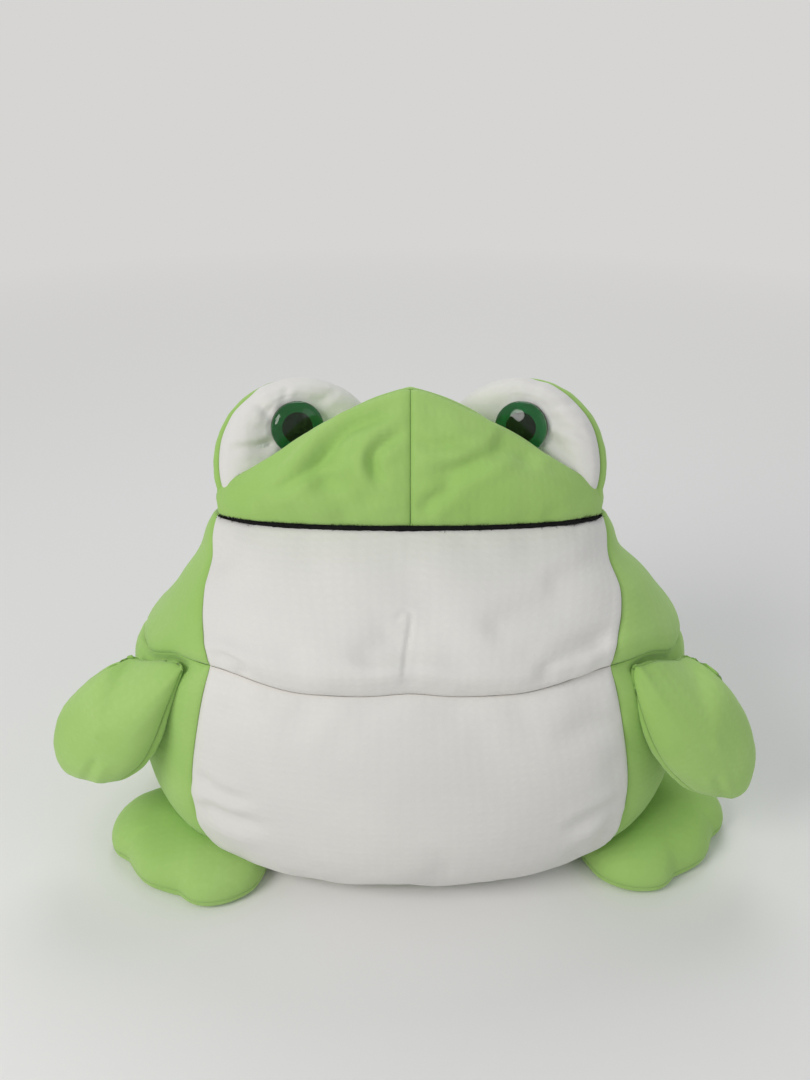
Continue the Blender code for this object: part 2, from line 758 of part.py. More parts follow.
def build_eye(word, place, across, along, facing):
    """The four pieces of an eye on its bed, and the space that its stem takes in the stuffing."""
    frame = Matrix.Identity(4)
    for index, way in enumerate((across, along, facing, place)):
        frame.col[index][:3] = way
    plate = EYE_DIAMETER / 2 - GAP
    face = GAP + EYE_PLATE_THICKNESS
    stem, pupil = STEM_DIAMETER / 2, PUPIL_DIAMETER / 2
    profile = [(0, -STEM_LENGTH)]
    ribs_start = CLOTH + WASHER_THICKNESS + 3 * GAP
    pitch = (STEM_LENGTH - ribs_start) / STEM_RIBS
    profile.append((stem - STEM_RIB, -STEM_LENGTH))
    for rib in range(STEM_RIBS):
        low = -STEM_LENGTH + rib * pitch
        profile.append((stem, low + pitch / 2))
        profile.append((stem - STEM_RIB, low + pitch / 2))
    profile.append((stem - STEM_RIB, GAP))
    profile += [(plate, GAP), (plate, face), (pupil, face), (pupil, face + IRIS_THICKNESS)]
    profile.append((0, face + IRIS_THICKNESS))
    turned_solid("eye_pupil_" + word, profile, "eye_black", frame)
    iris_in, iris_low = pupil + GAP, face + GAP
    iris_high = face + IRIS_THICKNESS
    iris = [(iris_in, iris_low), (plate, iris_low), (plate, iris_high), (iris_in, iris_high)]
    turned("eye_iris_" + word, iris, "eye_green", frame)
    low = iris_high + GAP
    cap = [(0, low), (EYE_DIAMETER / 2, low)]
    for step in range(LENS_STEPS + 1):
        angle = math.pi / 2 * step / LENS_STEPS
        radius = EYE_DIAMETER / 2 * math.cos(angle) if step < LENS_STEPS else 0
        cap.append((radius, low + LENS_EDGE + (LENS_HEIGHT - LENS_EDGE) * math.sin(angle)))
    turned_solid("eye_lens_" + word, cap, "eye_lens", frame)
    bore = stem + GAP
    high = -CLOTH - GAP * 2
    low = high - WASHER_THICKNESS
    washer = [
        (bore, low - WASHER_LIP), (bore + WASHER_LIP, low - WASHER_LIP), (bore + WASHER_LIP * 2, low),
        (WASHER_DIAMETER / 2, low), (WASHER_DIAMETER / 2, high), (bore, high),
    ]
    turned("eye_washer_" + word, washer, "washer_white", frame)
    wide = WASHER_DIAMETER / 2 + GAP
    washer_low = low - WASHER_LIP - GAP
    space = [
        (0, -STEM_LENGTH - WASHER_SPACE), (stem + WASHER_SPACE, -STEM_LENGTH - WASHER_SPACE),
        (stem + WASHER_SPACE, washer_low), (wide, washer_low), (wide, OVERRUN), (0, OVERRUN),
    ]
    cutter = turned_solid("eye_space_" + word, space, None, frame)
    cutter.hide_render = True
    cutter.display_type = "WIRE"
    return cutter


# Arms


def arm_frame(side):
    """The middle of an arm and its ways: across, up to its root and out of its front."""
    root = body_point(WAIST_PLACE, side * ARM_ROOT_SHARE * math.pi)
    turn = Matrix.Rotation(math.radians(side * ARM_TURN), 3, "Z")
    pitch = Matrix.Rotation(math.radians(-ARM_PITCH), 3, "X")
    splay = Matrix.Rotation(math.radians(-side * (ARM_SPLAY_LEFT if side < 0 else ARM_SPLAY_RIGHT)), 3, "Y")
    ways = turn @ pitch @ splay
    across = np.array(ways @ Vector((1, 0, 0)))
    up = np.array(ways @ Vector((0, 0, 1)))
    facing = np.array(ways @ Vector((0, -1, 0)))
    middle = root - up * (ARM_HALF_LENGTH - ARM_TUCK) + facing * ARM_STAND_OFF
    return middle, across, up, facing


def arm_hinge(side):
    """The middle of a shoulder seam, on the body under the waist seam, and its axis.

    A turn by the right hand about the axis raises the arm, and so it does for a foot.
    """
    front = body_point(WAIST_PLACE, side * (ARM_ROOT_SHARE - ARM_ROOT_SPAN_SHARE) * math.pi)
    rear = body_point(WAIST_PLACE, side * (ARM_ROOT_SHARE + ARM_ROOT_SPAN_SHARE) * math.pi)
    middle = body_point(WAIST_PLACE, side * ARM_ROOT_SHARE * math.pi)
    drop = np.array([0, 0, ARM_ROOT_DROP])
    return middle - drop, unit(front - rear) * side


def build_arm(side, word, cutters):
    place, axis = arm_hinge(side)
    joint = add_joint("shoulder_" + word, place)
    outline = []
    for step in range(ARM_COLUMNS):
        angle = 2 * math.pi * step / ARM_COLUMNS
        along = power(math.cos(angle), 2 / ARM_SQUARENESS)
        wide = power(math.sin(angle), 2 / ARM_SQUARENESS) * (1 - ARM_TAPER_SHARE * along)
        outline.append((ARM_HALF_WIDTH * wide, ARM_HALF_LENGTH * along))
    frame = arm_frame(side)
    press = swing_plane(place, axis, SHOULDER_ANGLE - ARM_SWING), frame[2]
    form = pillow_form(
        outline, (0, ARM_HALF_LENGTH * ARM_MIDDLE_SHARE), frame, PILLOW_RING_SHARES, FULL_RING_SHARES,
        ARM_FRONT_BULGE, ARM_BACK_BULGE, press=press,
    )
    names = ("arm_front_" + word, "arm_back_" + word, "arm_stuffing_" + word)
    build_pillow(names, form, ("green_knit", "green_knit"), joint, cutters)


# Feet


def foot_reach(angle):
    """A foot's outline from its middle: three toes about its heading, then round to the root."""
    spread = math.radians(TOE_SPREAD)
    toes_end = spread * TOES / 2
    if abs(angle) <= toes_end:
        valley = 1 - abs(math.cos(math.pi * angle / spread)) ** TOE_ROUNDNESS
        return FOOT_REACH - FOOT_NOTCH * valley
    low = FOOT_REACH - FOOT_NOTCH
    return low + (FOOT_ROOT_REACH - low) * (abs(angle) - toes_end) / (math.pi - toes_end)


def foot_hinge(side):
    """A place just off the body, where the foot comes out from under it, and the axis there."""
    share = FOOT_PLACE_LEFT_SHARE if side < 0 else FOOT_PLACE_RIGHT_SHARE
    place = body_point(LOWER_PLACE, side * share * math.pi)
    across, ahead = ring_normal(LOWER_HALF_WIDTH, LOWER_FRONT, LOWER_REAR, place[0], -place[1])
    outward = np.array([across, -ahead, 0])
    return place + outward * HIP_STAND_OFF, np.cross(outward, [0, 0, 1])


def foot_middle(side):
    """The middle of a foot on the floor, and its heading as an angle from the front."""
    tuck, heading = FOOT_TUCK_RIGHT, FOOT_HEADING_RIGHT
    if side < 0:
        tuck, heading = FOOT_TUCK_LEFT, FOOT_HEADING_LEFT
    turn = math.radians(heading)
    way = np.array([side * math.sin(turn), -math.cos(turn), 0])
    middle = (foot_hinge(side)[0] - way * tuck) * (1, 1, 0)
    return middle + np.array([0, 0, FOOT_SOLE_BULGE]), turn


def build_foot(side, word, cutters):
    place, axis = foot_hinge(side)
    joint = add_joint("hip_" + word, place)
    origin, heading_middle = foot_middle(side)
    frame = origin, np.array([1, 0, 0]), np.array([0, 1, 0]), np.array([0, 0, 1])
    outline = []
    for step in range(FOOT_COLUMNS):
        angle = 2 * math.pi * step / FOOT_COLUMNS
        aside = angle if angle <= math.pi else angle - 2 * math.pi
        reach, heading = foot_reach(aside), heading_middle + aside
        outline.append((side * reach * math.sin(heading), -reach * math.cos(heading)))
    if side < 0:
        outline.reverse()
    press = swing_plane(place, axis, HIP_ANGLE - FOOT_SWING), frame[3]
    form = pillow_form(
        outline, (0, 0), frame, PILLOW_RING_SHARES, SOLE_RING_SHARES, FOOT_TOP_BULGE, FOOT_SOLE_BULGE,
        press=press,
    )
    names = ("foot_top_" + word, "foot_sole_" + word, "foot_stuffing_" + word)
    build_pillow(names, form, ("green_knit", "green_knit"), joint, cutters)


def main():
    clear_scene()
    body, head = body_form(), head_form()
    build_body(body)
    build_head(head)
    build_mouth_cord(body, head)
    body_space = add_cutter("body_space", *envelope_mesh(body))
    head_space = add_cutter("head_space", *envelope_mesh(head))
    for side, word, turn in ((-1, "left", LOBE_TURN_LEFT), (1, "right", LOBE_TURN_RIGHT)):
        build_lobe(side, word, turn, (head_space, body_space))
        build_arm(side, word, (body_space,))
        build_foot(side, word, (body_space,))


main()
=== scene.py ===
import math

import bmesh
import bpy
import numpy as np
from mathutils import Matrix, Vector
from mathutils.bvhtree import BVHTree
from mathutils.kdtree import KDTree


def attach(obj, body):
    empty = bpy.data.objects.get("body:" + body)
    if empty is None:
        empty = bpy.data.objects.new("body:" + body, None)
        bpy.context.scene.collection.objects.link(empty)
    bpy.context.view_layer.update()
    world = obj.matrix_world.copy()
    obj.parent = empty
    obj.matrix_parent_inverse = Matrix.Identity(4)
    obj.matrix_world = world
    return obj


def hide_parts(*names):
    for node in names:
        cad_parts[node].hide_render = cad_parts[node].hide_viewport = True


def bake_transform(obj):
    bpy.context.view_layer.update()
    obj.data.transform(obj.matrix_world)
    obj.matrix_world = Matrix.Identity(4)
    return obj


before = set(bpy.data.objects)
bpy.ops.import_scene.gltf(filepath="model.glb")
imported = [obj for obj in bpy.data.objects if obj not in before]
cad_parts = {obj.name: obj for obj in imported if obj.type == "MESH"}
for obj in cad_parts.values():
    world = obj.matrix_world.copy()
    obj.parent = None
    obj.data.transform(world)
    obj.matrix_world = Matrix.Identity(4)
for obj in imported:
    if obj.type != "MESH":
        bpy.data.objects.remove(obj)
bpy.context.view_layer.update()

scene = bpy.context.scene

# The photograph's camera, and the studio
camera = {
    "place": (-0.0025, -0.53504, 0.45056), "pitch": 28, "lens": 38.6, "sensor": 36,
    "width": 810, "height": 1080,  # the photograph's frame
}
studio = {
    "floor": (0.84, 0.83, 0.815, 1), "floorSize": 30, "world": (0.93, 0.96, 1.0, 1), "worldStrength": 0.42,
    "paleFrom": 0.3, "paleTo": 1.3, "farGlow": 0.80, "floorRoughness": 0.9, "aim": (0, 0, 0.12),
    "lamps": (  # place, size, watts, colour
        ((-0.85, -0.85, 0.95), 0.7, 9.2, (1.0, 0.985, 0.96)),
        ((0.95, -0.55, 0.80), 0.8, 1.3, (0.95, 0.97, 1.0)),
        ((0.05, 0.75, 1.20), 0.8, 4.0, (1.0, 1.0, 1.0)),
    ),
}


def unit(ways):
    ways = np.asarray(ways, float)
    return ways / np.maximum(np.linalg.norm(ways, axis=-1, keepdims=True), 1e-12)


def power(value, exponent):
    return np.sign(value) * np.abs(value) ** exponent


def ease(value):
    value = np.clip(value, 0, 1)
    return value * value * (3 - 2 * value)


def makeCamera():
    data = bpy.data.cameras.new("camera")
    data.lens = camera["lens"]
    data.sensor_width = camera["sensor"]
    item = bpy.data.objects.new("camera", data)
    scene.collection.objects.link(item)
    item.location = camera["place"]
    item.rotation_euler = (math.radians(90 - camera["pitch"]), 0, 0)
    scene.camera = item


def onPhoto(points):
    # where points fall in the photograph's frame, in its pixels
    pitch = math.radians(camera["pitch"])
    away = points - np.array(camera["place"])
    depth = away @ np.array([0, math.cos(pitch), -math.sin(pitch)])
    rise = away @ np.array([0, math.sin(pitch), math.cos(pitch)])
    focal = camera["lens"] / camera["sensor"] * camera["height"]
    across = camera["width"] / 2 + focal * away[..., 0] / depth
    return np.stack([across, camera["height"] / 2 - focal * rise / depth], axis=-1)


def makeStudio():
    bpy.ops.object.select_all(action="DESELECT")
    bpy.ops.mesh.primitive_plane_add(size=studio["floorSize"], location=(0, 0, 0))
    floor = bpy.context.object
    floor.name = "floor"
    floor.data.materials.append(floorMaterial())
    for index, (place, size, watts, colour) in enumerate(studio["lamps"]):
        data = bpy.data.lights.new(f"lamp{index}", "AREA")
        data.shape = "DISK"
        data.size = size
        data.energy = watts
        data.color = colour
        lamp = bpy.data.objects.new(f"lamp{index}", data)
        scene.collection.objects.link(lamp)
        lamp.location = place
        lamp.rotation_mode = "QUATERNION"
        lamp.rotation_quaternion = (Vector(studio["aim"]) - Vector(place)).to_track_quat("-Z", "Y")
    world = bpy.data.worlds.new("world")
    scene.world = world
    world.use_nodes = True
    tree = world.node_tree
    tree.nodes["Background"].inputs[0].default_value = studio["world"]
    tree.nodes["Background"].inputs[1].default_value = studio["worldStrength"]
    # seen directly, in gloss and through the lenses it is as pale as the floor
    pale = addNode(tree, "Background", {"Color": studio["floor"], "Strength": studio["farGlow"]})
    rays, both = addNode(tree, "LightPath"), addNode(tree, "MixShader")
    share = rays.outputs["Is Camera Ray"]
    for kind in ("Is Glossy Ray", "Is Transmission Ray"):
        either = addNode(tree, "Math", operation="MAXIMUM")
        tree.links.new(share, either.inputs[0])
        tree.links.new(rays.outputs[kind], either.inputs[1])
        share = either.outputs[0]
    tree.links.new(share, both.inputs[0])
    tree.links.new(tree.nodes["Background"].outputs[0], both.inputs[1])
    tree.links.new(pale.outputs[0], both.inputs[2])
    tree.links.new(both.outputs[0], tree.nodes["World Output"].inputs[0])
    scene.view_settings.view_transform = "Standard"


# Materials

def startMaterial(name, values=()):
    made = bpy.data.materials.new(name)
    made.use_nodes = True
    shader = made.node_tree.nodes["Principled BSDF"]
    for key, value in dict(values).items():
        shader.inputs[key].default_value = value
    return made, made.node_tree, shader


def addNode(tree, kind, values=(), **settings):
    node = tree.nodes.new("ShaderNode" + kind)
    for key, value in settings.items():
        setattr(node, key, value)
    for key, value in dict(values).items():
        node.inputs[key].default_value = value
    return node


def addNoise(tree, scale, detail, **more):
    # a noise on the piece's own coordinates
    node = addNode(tree, "TexNoise", {"Scale": scale, "Detail": detail, **more})
    tree.links.new(addNode(tree, "TexCoord").outputs["Object"], node.inputs["Vector"])
    return node.outputs["Fac"]


def addBump(tree, shader, height, strength, distance):
    bump = addNode(tree, "Bump", {"Strength": strength, "Distance": distance})
    tree.links.new(height, bump.inputs["Height"])
    tree.links.new(bump.outputs[0], shader.inputs["Normal"])


def floorMaterial():
    # pale paint that keeps the object's shadow near it, and glows as pale far away
    made, tree, shader = startMaterial("floorPaint", {"Base Color": studio["floor"],
                                                      "Roughness": studio["floorRoughness"]})
    place = addNode(tree, "TexCoord")
    far = addNode(tree, "VectorMath", operation="LENGTH")
    tree.links.new(place.outputs["Object"], far.inputs[0])
    glow = addNode(tree, "Emission", {"Color": studio["floor"], "Strength": studio["farGlow"]})
    both = addNode(tree, "MixShader")
    tree.links.new(ramp(tree, far.outputs["Value"], studio["paleFrom"], studio["paleTo"]), both.inputs[0])
    tree.links.new(shader.outputs[0], both.inputs[1])
    tree.links.new(glow.outputs[0], both.inputs[2])
    tree.links.new(both.outputs[0], tree.nodes["Material Output"].inputs[0])
    return made


# light and deep are the knit's own tones, mixed at random; seam is the darker colour of the painted shade along the
# seams
knits = {
    "green": {
        "light": (0.410, 0.620, 0.200, 1), "deep": (0.340, 0.560, 0.145, 1), "seam": (0.20, 0.38, 0.07, 1),
        "sheen": 0.30, "sheenTint": (0.90, 1.0, 0.76, 1),
    },
    "white": {
        "light": (0.80, 0.780, 0.740, 1), "deep": (0.74, 0.725, 0.695, 1), "seam": (0.60, 0.56, 0.50, 1),
        "sheen": 0.20, "sheenTint": (1, 1, 1, 1),
    },
    "loops": (("X", 1150), ("Y", 1500)),  # loops to a metre, across and along
    "loopScale": 0.32, "distortion": 1.2, "distortionScale": 1.5,
    "cloudScale": 16.0, "speckScale": 420.0, "fibreScale": 1700.0,
    "specks": 0.35, "loopShade": 0.22, "loopHeight": 0.55, "bump": 0.35, "bumpDepth": 0.00025,
    "shader": {"Roughness": 0.88, "Specular IOR Level": 0.22, "Sheen Roughness": 0.45},
}


def mixColour(tree, share, first, second):
    node = addNode(tree, "Mix", data_type="RGBA")
    for socket, value in ((node.inputs[0], share), (node.inputs[6], first), (node.inputs[7], second)):
        if isinstance(value, bpy.types.NodeSocket):
            tree.links.new(value, socket)
        else:
            socket.default_value = value
    return node.outputs[2]


def ramp(tree, source, low, high, start=0.0, end=1.0):
    node = addNode(tree, "MapRange", {1: low, 2: high, 3: start, 4: end})
    tree.links.new(source, node.inputs[0])
    return node.outputs[0]


def knitMaterial(word):
    # fine jersey with a brushed face: loops in rows, loose fibre ends, and painted shade along the seams
    care = knits[word]
    made, tree, shader = startMaterial(word + "Knit", {
        **knits["shader"], "Sheen Weight": care["sheen"], "Sheen Tint": care["sheenTint"]})
    link = tree.links.new
    place = addNode(tree, "TexCoord")
    cloud = addNoise(tree, knits["cloudScale"], 3.0)
    specks = addNoise(tree, knits["speckScale"], 2.0)
    fibres = addNoise(tree, knits["fibreScale"], 2.0, Roughness=0.7)
    loops = addNode(tree, "Math", operation="MULTIPLY")
    for index, (axis, count) in enumerate(knits["loops"]):
        wave = addNode(tree, "TexWave", {
            "Scale": count / 2 / math.pi * knits["loopScale"], "Distortion": knits["distortion"],
            "Detail": 1.0, "Detail Scale": knits["distortionScale"]}, bands_direction=axis)
        link(place.outputs["UV"], wave.inputs["Vector"])
        link(wave.outputs["Fac"], loops.inputs[index])
    colour = mixColour(tree, ramp(tree, cloud, 0.35, 0.65), care["light"], care["deep"])
    colour = mixColour(tree, ramp(tree, specks, 0.3, 0.8, 0.0, knits["specks"]), colour, care["deep"])
    colour = mixColour(tree, ramp(tree, loops.outputs[0], 0.0, 1.0, knits["loopShade"], 0.0), colour, care["deep"])
    # painted shade along the seams: the seam colour mixed in by a per-point attribute
    seamShade = addNode(tree, "Attribute", attribute_name="seamShade")
    colour = mixColour(tree, seamShade.outputs["Fac"], colour, care["seam"])
    link(colour, shader.inputs["Base Color"])
    height = addNode(tree, "Math", {1: knits["loopHeight"]}, operation="MULTIPLY_ADD")
    link(fibres, height.inputs[0])
    link(loops.outputs[0], height.inputs[2])
    addBump(tree, shader, height.outputs[0], knits["bump"], knits["bumpDepth"])
    return made


def strandMaterial(name, scale, detail, colours, bump, values, **noise):
    # loose or twisted strands: the stuffing and the mouth's yarn
    made, tree, shader = startMaterial(name, values)
    strands = addNoise(tree, scale, detail, **noise)
    tree.links.new(mixColour(tree, strands, *colours), shader.inputs["Base Color"])
    addBump(tree, shader, strands, *bump)
    return made


def lensMaterial():
    made, tree, shader = startMaterial("greenLens", {
        "Base Color": (0.42, 0.80, 0.56, 1), "IOR": 1.40, "Transmission Weight": 1.0})
    scratches = addNoise(tree, 240.0, 2.0)
    tree.links.new(ramp(tree, scratches, 0.3, 0.8, 0.02, 0.07), shader.inputs["Roughness"])
    return made


def plasticMaterial(name, light, deep, low, high, values=()):
    made, tree, shader = startMaterial(name, values)
    cloud = addNoise(tree, 160.0, 3.0)
    tree.links.new(mixColour(tree, cloud, light, deep), shader.inputs["Base Color"])
    tree.links.new(ramp(tree, cloud, 0.2, 0.8, low, high), shader.inputs["Roughness"])
    return made


# Forms: closed grids of rings and columns that start and end in one point, as the CAD's are

def resample(values, places, closed=False):
    # a smooth curve through the rows of values, read at places counted in rows
    last = len(values) - (0 if closed else 1)
    if closed:
        rows = np.concatenate([values[-1:], values, values[:3]])
    else:
        rows = np.concatenate([2 * values[:1] - values[1:2], values, 2 * values[-1:] - values[-2:-1]])
    start = np.clip(np.floor(places).astype(int), 0, last - 1)
    share = (places - start).reshape(-1, *[1] * (values.ndim - 1))
    before, here, there, after = (rows[start + step] for step in range(4))
    bend = 2 * before - 5 * here + 4 * there - after
    twist = 3 * here - before - 3 * there + after
    return here + share / 2 * ((there - before) + share * (bend + share * twist))


def gridNormals(grid, closed=True):
    if closed:
        wide = np.concatenate([grid[:, -1:], grid, grid[:, :1]], axis=1)
        along = (wide[:, 2:] - wide[:, :-2]) / 2
    else:
        along = np.gradient(grid, axis=1)
    normals = np.cross(np.gradient(grid, axis=0), along)
    for end, near in ((0, 1), (-1, -2)):
        if np.ptp(grid[end], axis=0).max() < 1e-6:
            normals[end] = normals[near].mean(axis=0)
    return unit(normals)


def lineLengths(grid, axis):
    steps = np.linalg.norm(np.diff(grid, axis=axis), axis=-1)
    pad = np.zeros_like(np.take(steps, [0], axis=axis))
    return np.concatenate([pad, np.cumsum(steps, axis=axis)], axis=axis)


def moveSeam(grid, rim, shifts, first=0):
    # slides the rings of each column along the form, so the seam lies further back or further forward
    lengths = lineLengths(grid, 0)
    moved = grid.copy()
    for column, shift in enumerate(shifts):
        length = lengths[:, column]
        start, seam, end = length[first], length[rim], length[-1]
        front = start + (length[first:rim + 1] - start) * (seam + shift - start) / (seam - start)
        rear = seam + shift + (length[rim:] - seam) * (end - seam - shift) / (end - seam)
        spots = np.concatenate([front, rear[1:]])
        places = np.interp(spots, length, np.arange(len(length)))
        moved[first:, column] = resample(grid[:, column], places)
    return moved


def makeForm(grid):
    # the grid with the way out at each of its points
    ways = gridNormals(grid)
    middle = grid.reshape(-1, 3).mean(axis=0)
    if ((grid - middle) * ways).sum() < 0:
        ways = -ways
    return {"grid": grid, "ways": ways}


def closedFaces(rings, columns):
    # faces of a closed grid whose first and last rings are single points
    faces = []
    last = 1 + (rings - 2) * columns
    for column in range(columns):
        after = (column + 1) % columns
        faces.append((0, 1 + column, 1 + after))
        faces.append((last, last - columns + after, last - columns + column))
        for ring in range(rings - 3):
            low = 1 + ring * columns
            faces.append((low + column, low + columns + column, low + columns + after, low + after))
    return faces


def pick(item):
    bpy.ops.object.select_all(action="DESELECT")
    item.select_set(True)
    bpy.context.view_layer.objects.active = item


def addMesh(name, points, faces, edges=()):
    mesh = bpy.data.meshes.new(name)
    mesh.from_pydata(np.asarray(points).tolist(), edges, faces)
    mesh.update()
    item = bpy.data.objects.new(name, mesh)
    scene.collection.objects.link(item)
    pick(item)
    return item


def editAll(*steps):
    # works on all of the picked piece in edit mode
    bpy.ops.object.mode_set(mode="EDIT")
    for step, values in steps:
        bpy.ops.mesh.select_all(action="SELECT")
        step(**values)
    bpy.ops.object.mode_set(mode="OBJECT")


def addForm(name, grid, material=None):
    # a closed grid as a smooth solid that faces out
    item = addMesh(name, gridPoints(grid), closedFaces(*grid.shape[:2]))
    editAll((bpy.ops.mesh.normals_make_consistent, {"inside": False}))
    item.data.shade_smooth()
    if material:
        item.data.materials.append(material)
    return item


def gridPoints(grid):
    return np.concatenate([grid[0, :1], grid[1:-1].reshape(-1, 3), grid[-1, :1]])


inflation = {
    "cloth": {"quality": 6, "tension_stiffness": 15, "compression_stiffness": 15, "shear_stiffness": 5,
              "air_damping": 2, "use_pressure": True, "vertex_group_mass": "held"},
    "endRings": 5, "inward": 0.0003,  # rings eased at each end, and how far a point may sink
}


def inflate(name, form, held, care, limit=1):
    # the stuffing's push: a cloth simulation of the whole closed form, held along its seams
    grid = form["grid"]
    rings, columns = grid.shape[:2]
    item = addForm(name + "Cloth", grid)
    group = item.vertex_groups.new(name="held")
    weights = np.concatenate([held[0, :1], held[1:-1].reshape(-1), held[-1, :1]])
    for weight in np.unique(weights[weights > 0]):
        group.add(np.nonzero(weights == weight)[0].tolist(), float(weight), "REPLACE")
    cloth = item.modifiers.new("cloth", "CLOTH")
    for key, value in inflation["cloth"].items():
        setattr(cloth.settings, key, value)
    cloth.settings.mass = care["mass"]
    cloth.settings.bending_stiffness = care["bending"]
    cloth.settings.uniform_pressure_force = care["pressure"]
    cloth.settings.shrink_min = -care["growth"]
    cloth.settings.effector_weights.gravity = 0
    cloth.collision_settings.use_collision = False
    cloth.point_cache.frame_start = 1
    cloth.point_cache.frame_end = 40
    for step in range(1, care["frames"] + 1):
        scene.frame_set(step)
    bpy.ops.object.modifier_apply(modifier="cloth")
    points = np.empty(len(item.data.vertices) * 3)
    item.data.vertices.foreach_get("co", points)
    points = points.reshape(-1, 3)
    bpy.data.objects.remove(item, do_unlink=True)
    scene.frame_set(1)
    swollen = grid.copy()
    swollen[0], swollen[-1] = points[0], points[-1]
    swollen[1:-1] = points[1:-1].reshape(rings - 2, columns, 3)
    moved = swollen - grid
    for step in range(inflation["endRings"]):
        for ring in (step, rings - 1 - step):
            mean, free = moved[ring].mean(axis=0), float(ease(step / inflation["endRings"]))
            moved[ring] = mean + (moved[ring] - mean) * free
    far = np.linalg.norm(moved, axis=-1, keepdims=True)
    moved *= care["cap"] * np.tanh(far / care["cap"]) / np.maximum(far, 1e-9)
    outward = (moved * form["ways"]).sum(axis=-1)
    outward = np.maximum(outward, -inflation["inward"]) * limit
    for _ in range(care["calm"]):
        around = np.roll(outward, 1, axis=1) + np.roll(outward, -1, axis=1)
        outward[1:-1] = (4 * outward[1:-1] + around[1:-1] + outward[:-2] + outward[2:]) / 8
    outward *= 1 - held
    moved = form["ways"] * outward[..., None]
    print("inflated", name, "by", round(float(outward.max()) * 1000, 2), "mm at most")
    return makeForm(grid + moved)


# Strokes: line on the photograph in its pixels, width in pixels, depth in metres, lean of the swell
strokes = {
    "armLeft": (
        (((84, 784), (91, 770), (97, 756)), 6, 0.0014, 0.6),
    ),
    "armRight": (
        (((726, 806), (720, 788), (716, 774)), 5, 0.0012, 0.6),
    ),
    "lobeLeft": (
        (((284, 441), (262, 446), (240, 448), (224, 452)), 5, 0.0011, 0.6),
        (((272, 420), (262, 408), (250, 396)), 5, 0.0010, 0.6),
        (((288, 400), (286, 392), (290, 383)), 4, 0.0006, 0.6),
        (((318, 404), (328, 396), (340, 390)), 5, 0.0006, 0.6),
    ),
    "lobeRight": (
        (((548, 410), (562, 404), (580, 406)), 5, 0.0009, 0.6),
        (((552, 426), (572, 430), (594, 440)), 5, 0.0009, 0.6),
        (((549, 441), (562, 452), (580, 468)), 5, 0.0008, 0.6),
        (((520, 402), (516, 394), (510, 388)), 5, 0.0006, 0.6),
    ),
    "snoutLeft": (
        (((400, 411), (380, 417), (353, 426), (340, 435), (326, 448), (313, 463), (299, 476), (280, 487), (262, 489)),
         7, 0.0038, 0.6),
        (((412, 428), (396, 436), (381, 446), (372, 458), (377, 474), (393, 484)), 7, 0.0032, 0.6),
        (((350, 444), (332, 455), (320, 470), (328, 484), (356, 494)), 13, 0.0046, 0.4),
    ),
    "snoutRight": (
        (((413, 441), (432, 446), (453, 443), (490, 441)), 7, 0.0022, 0.6),
        (((413, 474), (450, 474), (474, 464), (495, 453), (516, 442)), 9, 0.0028, 0.5),
        (((490, 436), (515, 448), (545, 466)), 14, 0.0030, 0.2),
        (((420, 520), (428, 505), (444, 492), (462, 484)), 8, 0.0022, 0.5),
    ),
    "chest": (
        (((200, 648), (233, 663), (252, 682)), 6, 0.0020, 0.7),
        (((530, 680), (569, 657), (622, 632)), 12, 0.0034, 0.5),
        (((480, 640), (520, 615), (600, 590)), 18, 0.0026, 0.3),
        (((398, 628), (380, 648), (350, 668)), 18, 0.0016, 0.3),
        (((606, 560), (570, 572), (540, 590)), 14, 0.0016, 0.4),
        (((394, 621), (405, 612), (416, 616)), 3, 0.0008, 0.4),
        (((413, 606), (410, 630), (406, 655), (402, 690)), 2.6, 0.0012, 0.25),
    ),
    "belly": (
        (((190, 768), (215, 791), (256, 806)), 7, 0.0022, 0.6),
        (((195, 798), (226, 816), (275, 833)), 8, 0.0027, 0.6),
        (((556, 836), (604, 812), (632, 792)), 7, 0.0027, 0.6),
        (((590, 846), (612, 822), (634, 806)), 6, 0.0018, 0.6),
        (((545, 744), (604, 724), (634, 718)), 12, 0.0016, 0.3),
    ),
}


# Body

neckLean, neckHeight, neckHalfWidth, neckFront, neckRear = 16, 0.184, 0.100, 0.050, 0.062
body = {
    "stations": (  # height, lean, half width, front, rear
        (0.0015, 0, 0.112, 0.078, 0.062), (0.022, 4, 0.136, 0.102, 0.084), (0.056, 8, 0.146, 0.106, 0.095),
        (0.117, 9, 0.146, 0.096, 0.096), (0.145, 14, 0.130, 0.082, 0.081),
        (neckHeight, neckLean, neckHalfWidth, neckFront, neckRear),
    ),
    "squareness": 2.3,
    "whiteEdges": (0.26, 0.272, 0.262, 0.222, 0.285, 0.43),
    "whiteColumns": 26, "sideColumns": 38, "ringsPerStation": 12, "waistStation": 3,
    "capShares": (0.25, 0.5, 0.72, 0.88, 0.96),
    "waistRise": 0.17, "overhang": 0.0050, "bellyTuck": 0.0018, "armDent": 0.0052, "sideSwell": 0.25,
    "neckTuck": 0.006, "neckTuckAt": (4.5, 0.27),  # depth, then its station and reach
    "shoulderTucks": (0.0085, 0.0020), "shoulderTuckAt": (3.72, 0.65),  # left and right
    "tuckStart": 0.20, "tuckEase": 0.2, "climbStart": 0.4, "fallStart": 0.29, "fallReach": 0.1,
    "armPlace": 0.335, "armReach": 0.085, "riseReach": 0.55,
    # reaches of the grooves and swells, in columns and rings
    "seamColumns": 2.2, "waistRings": 3.2, "dartRings": 4, "overhangRings": (4.0, 2.6), "tuckRings": 2.5,
    "dentRings": (-1.2, 2.2), "cuspRings": 5.0, "calmRings": 5, "armCalm": 0.9,
    "waistDepth": 0.0028, "seamDepth": 0.0010, "dartDepth": 0.0016, "dartStations": 1.0,
    "cuspRise": 0.0022, "cuspWidth": 0.014,
    "cloth": {"pressure": 4, "growth": 0.02, "mass": 0.01, "bending": 0.4, "cap": 0.006, "frames": 24, "calm": 3},
}


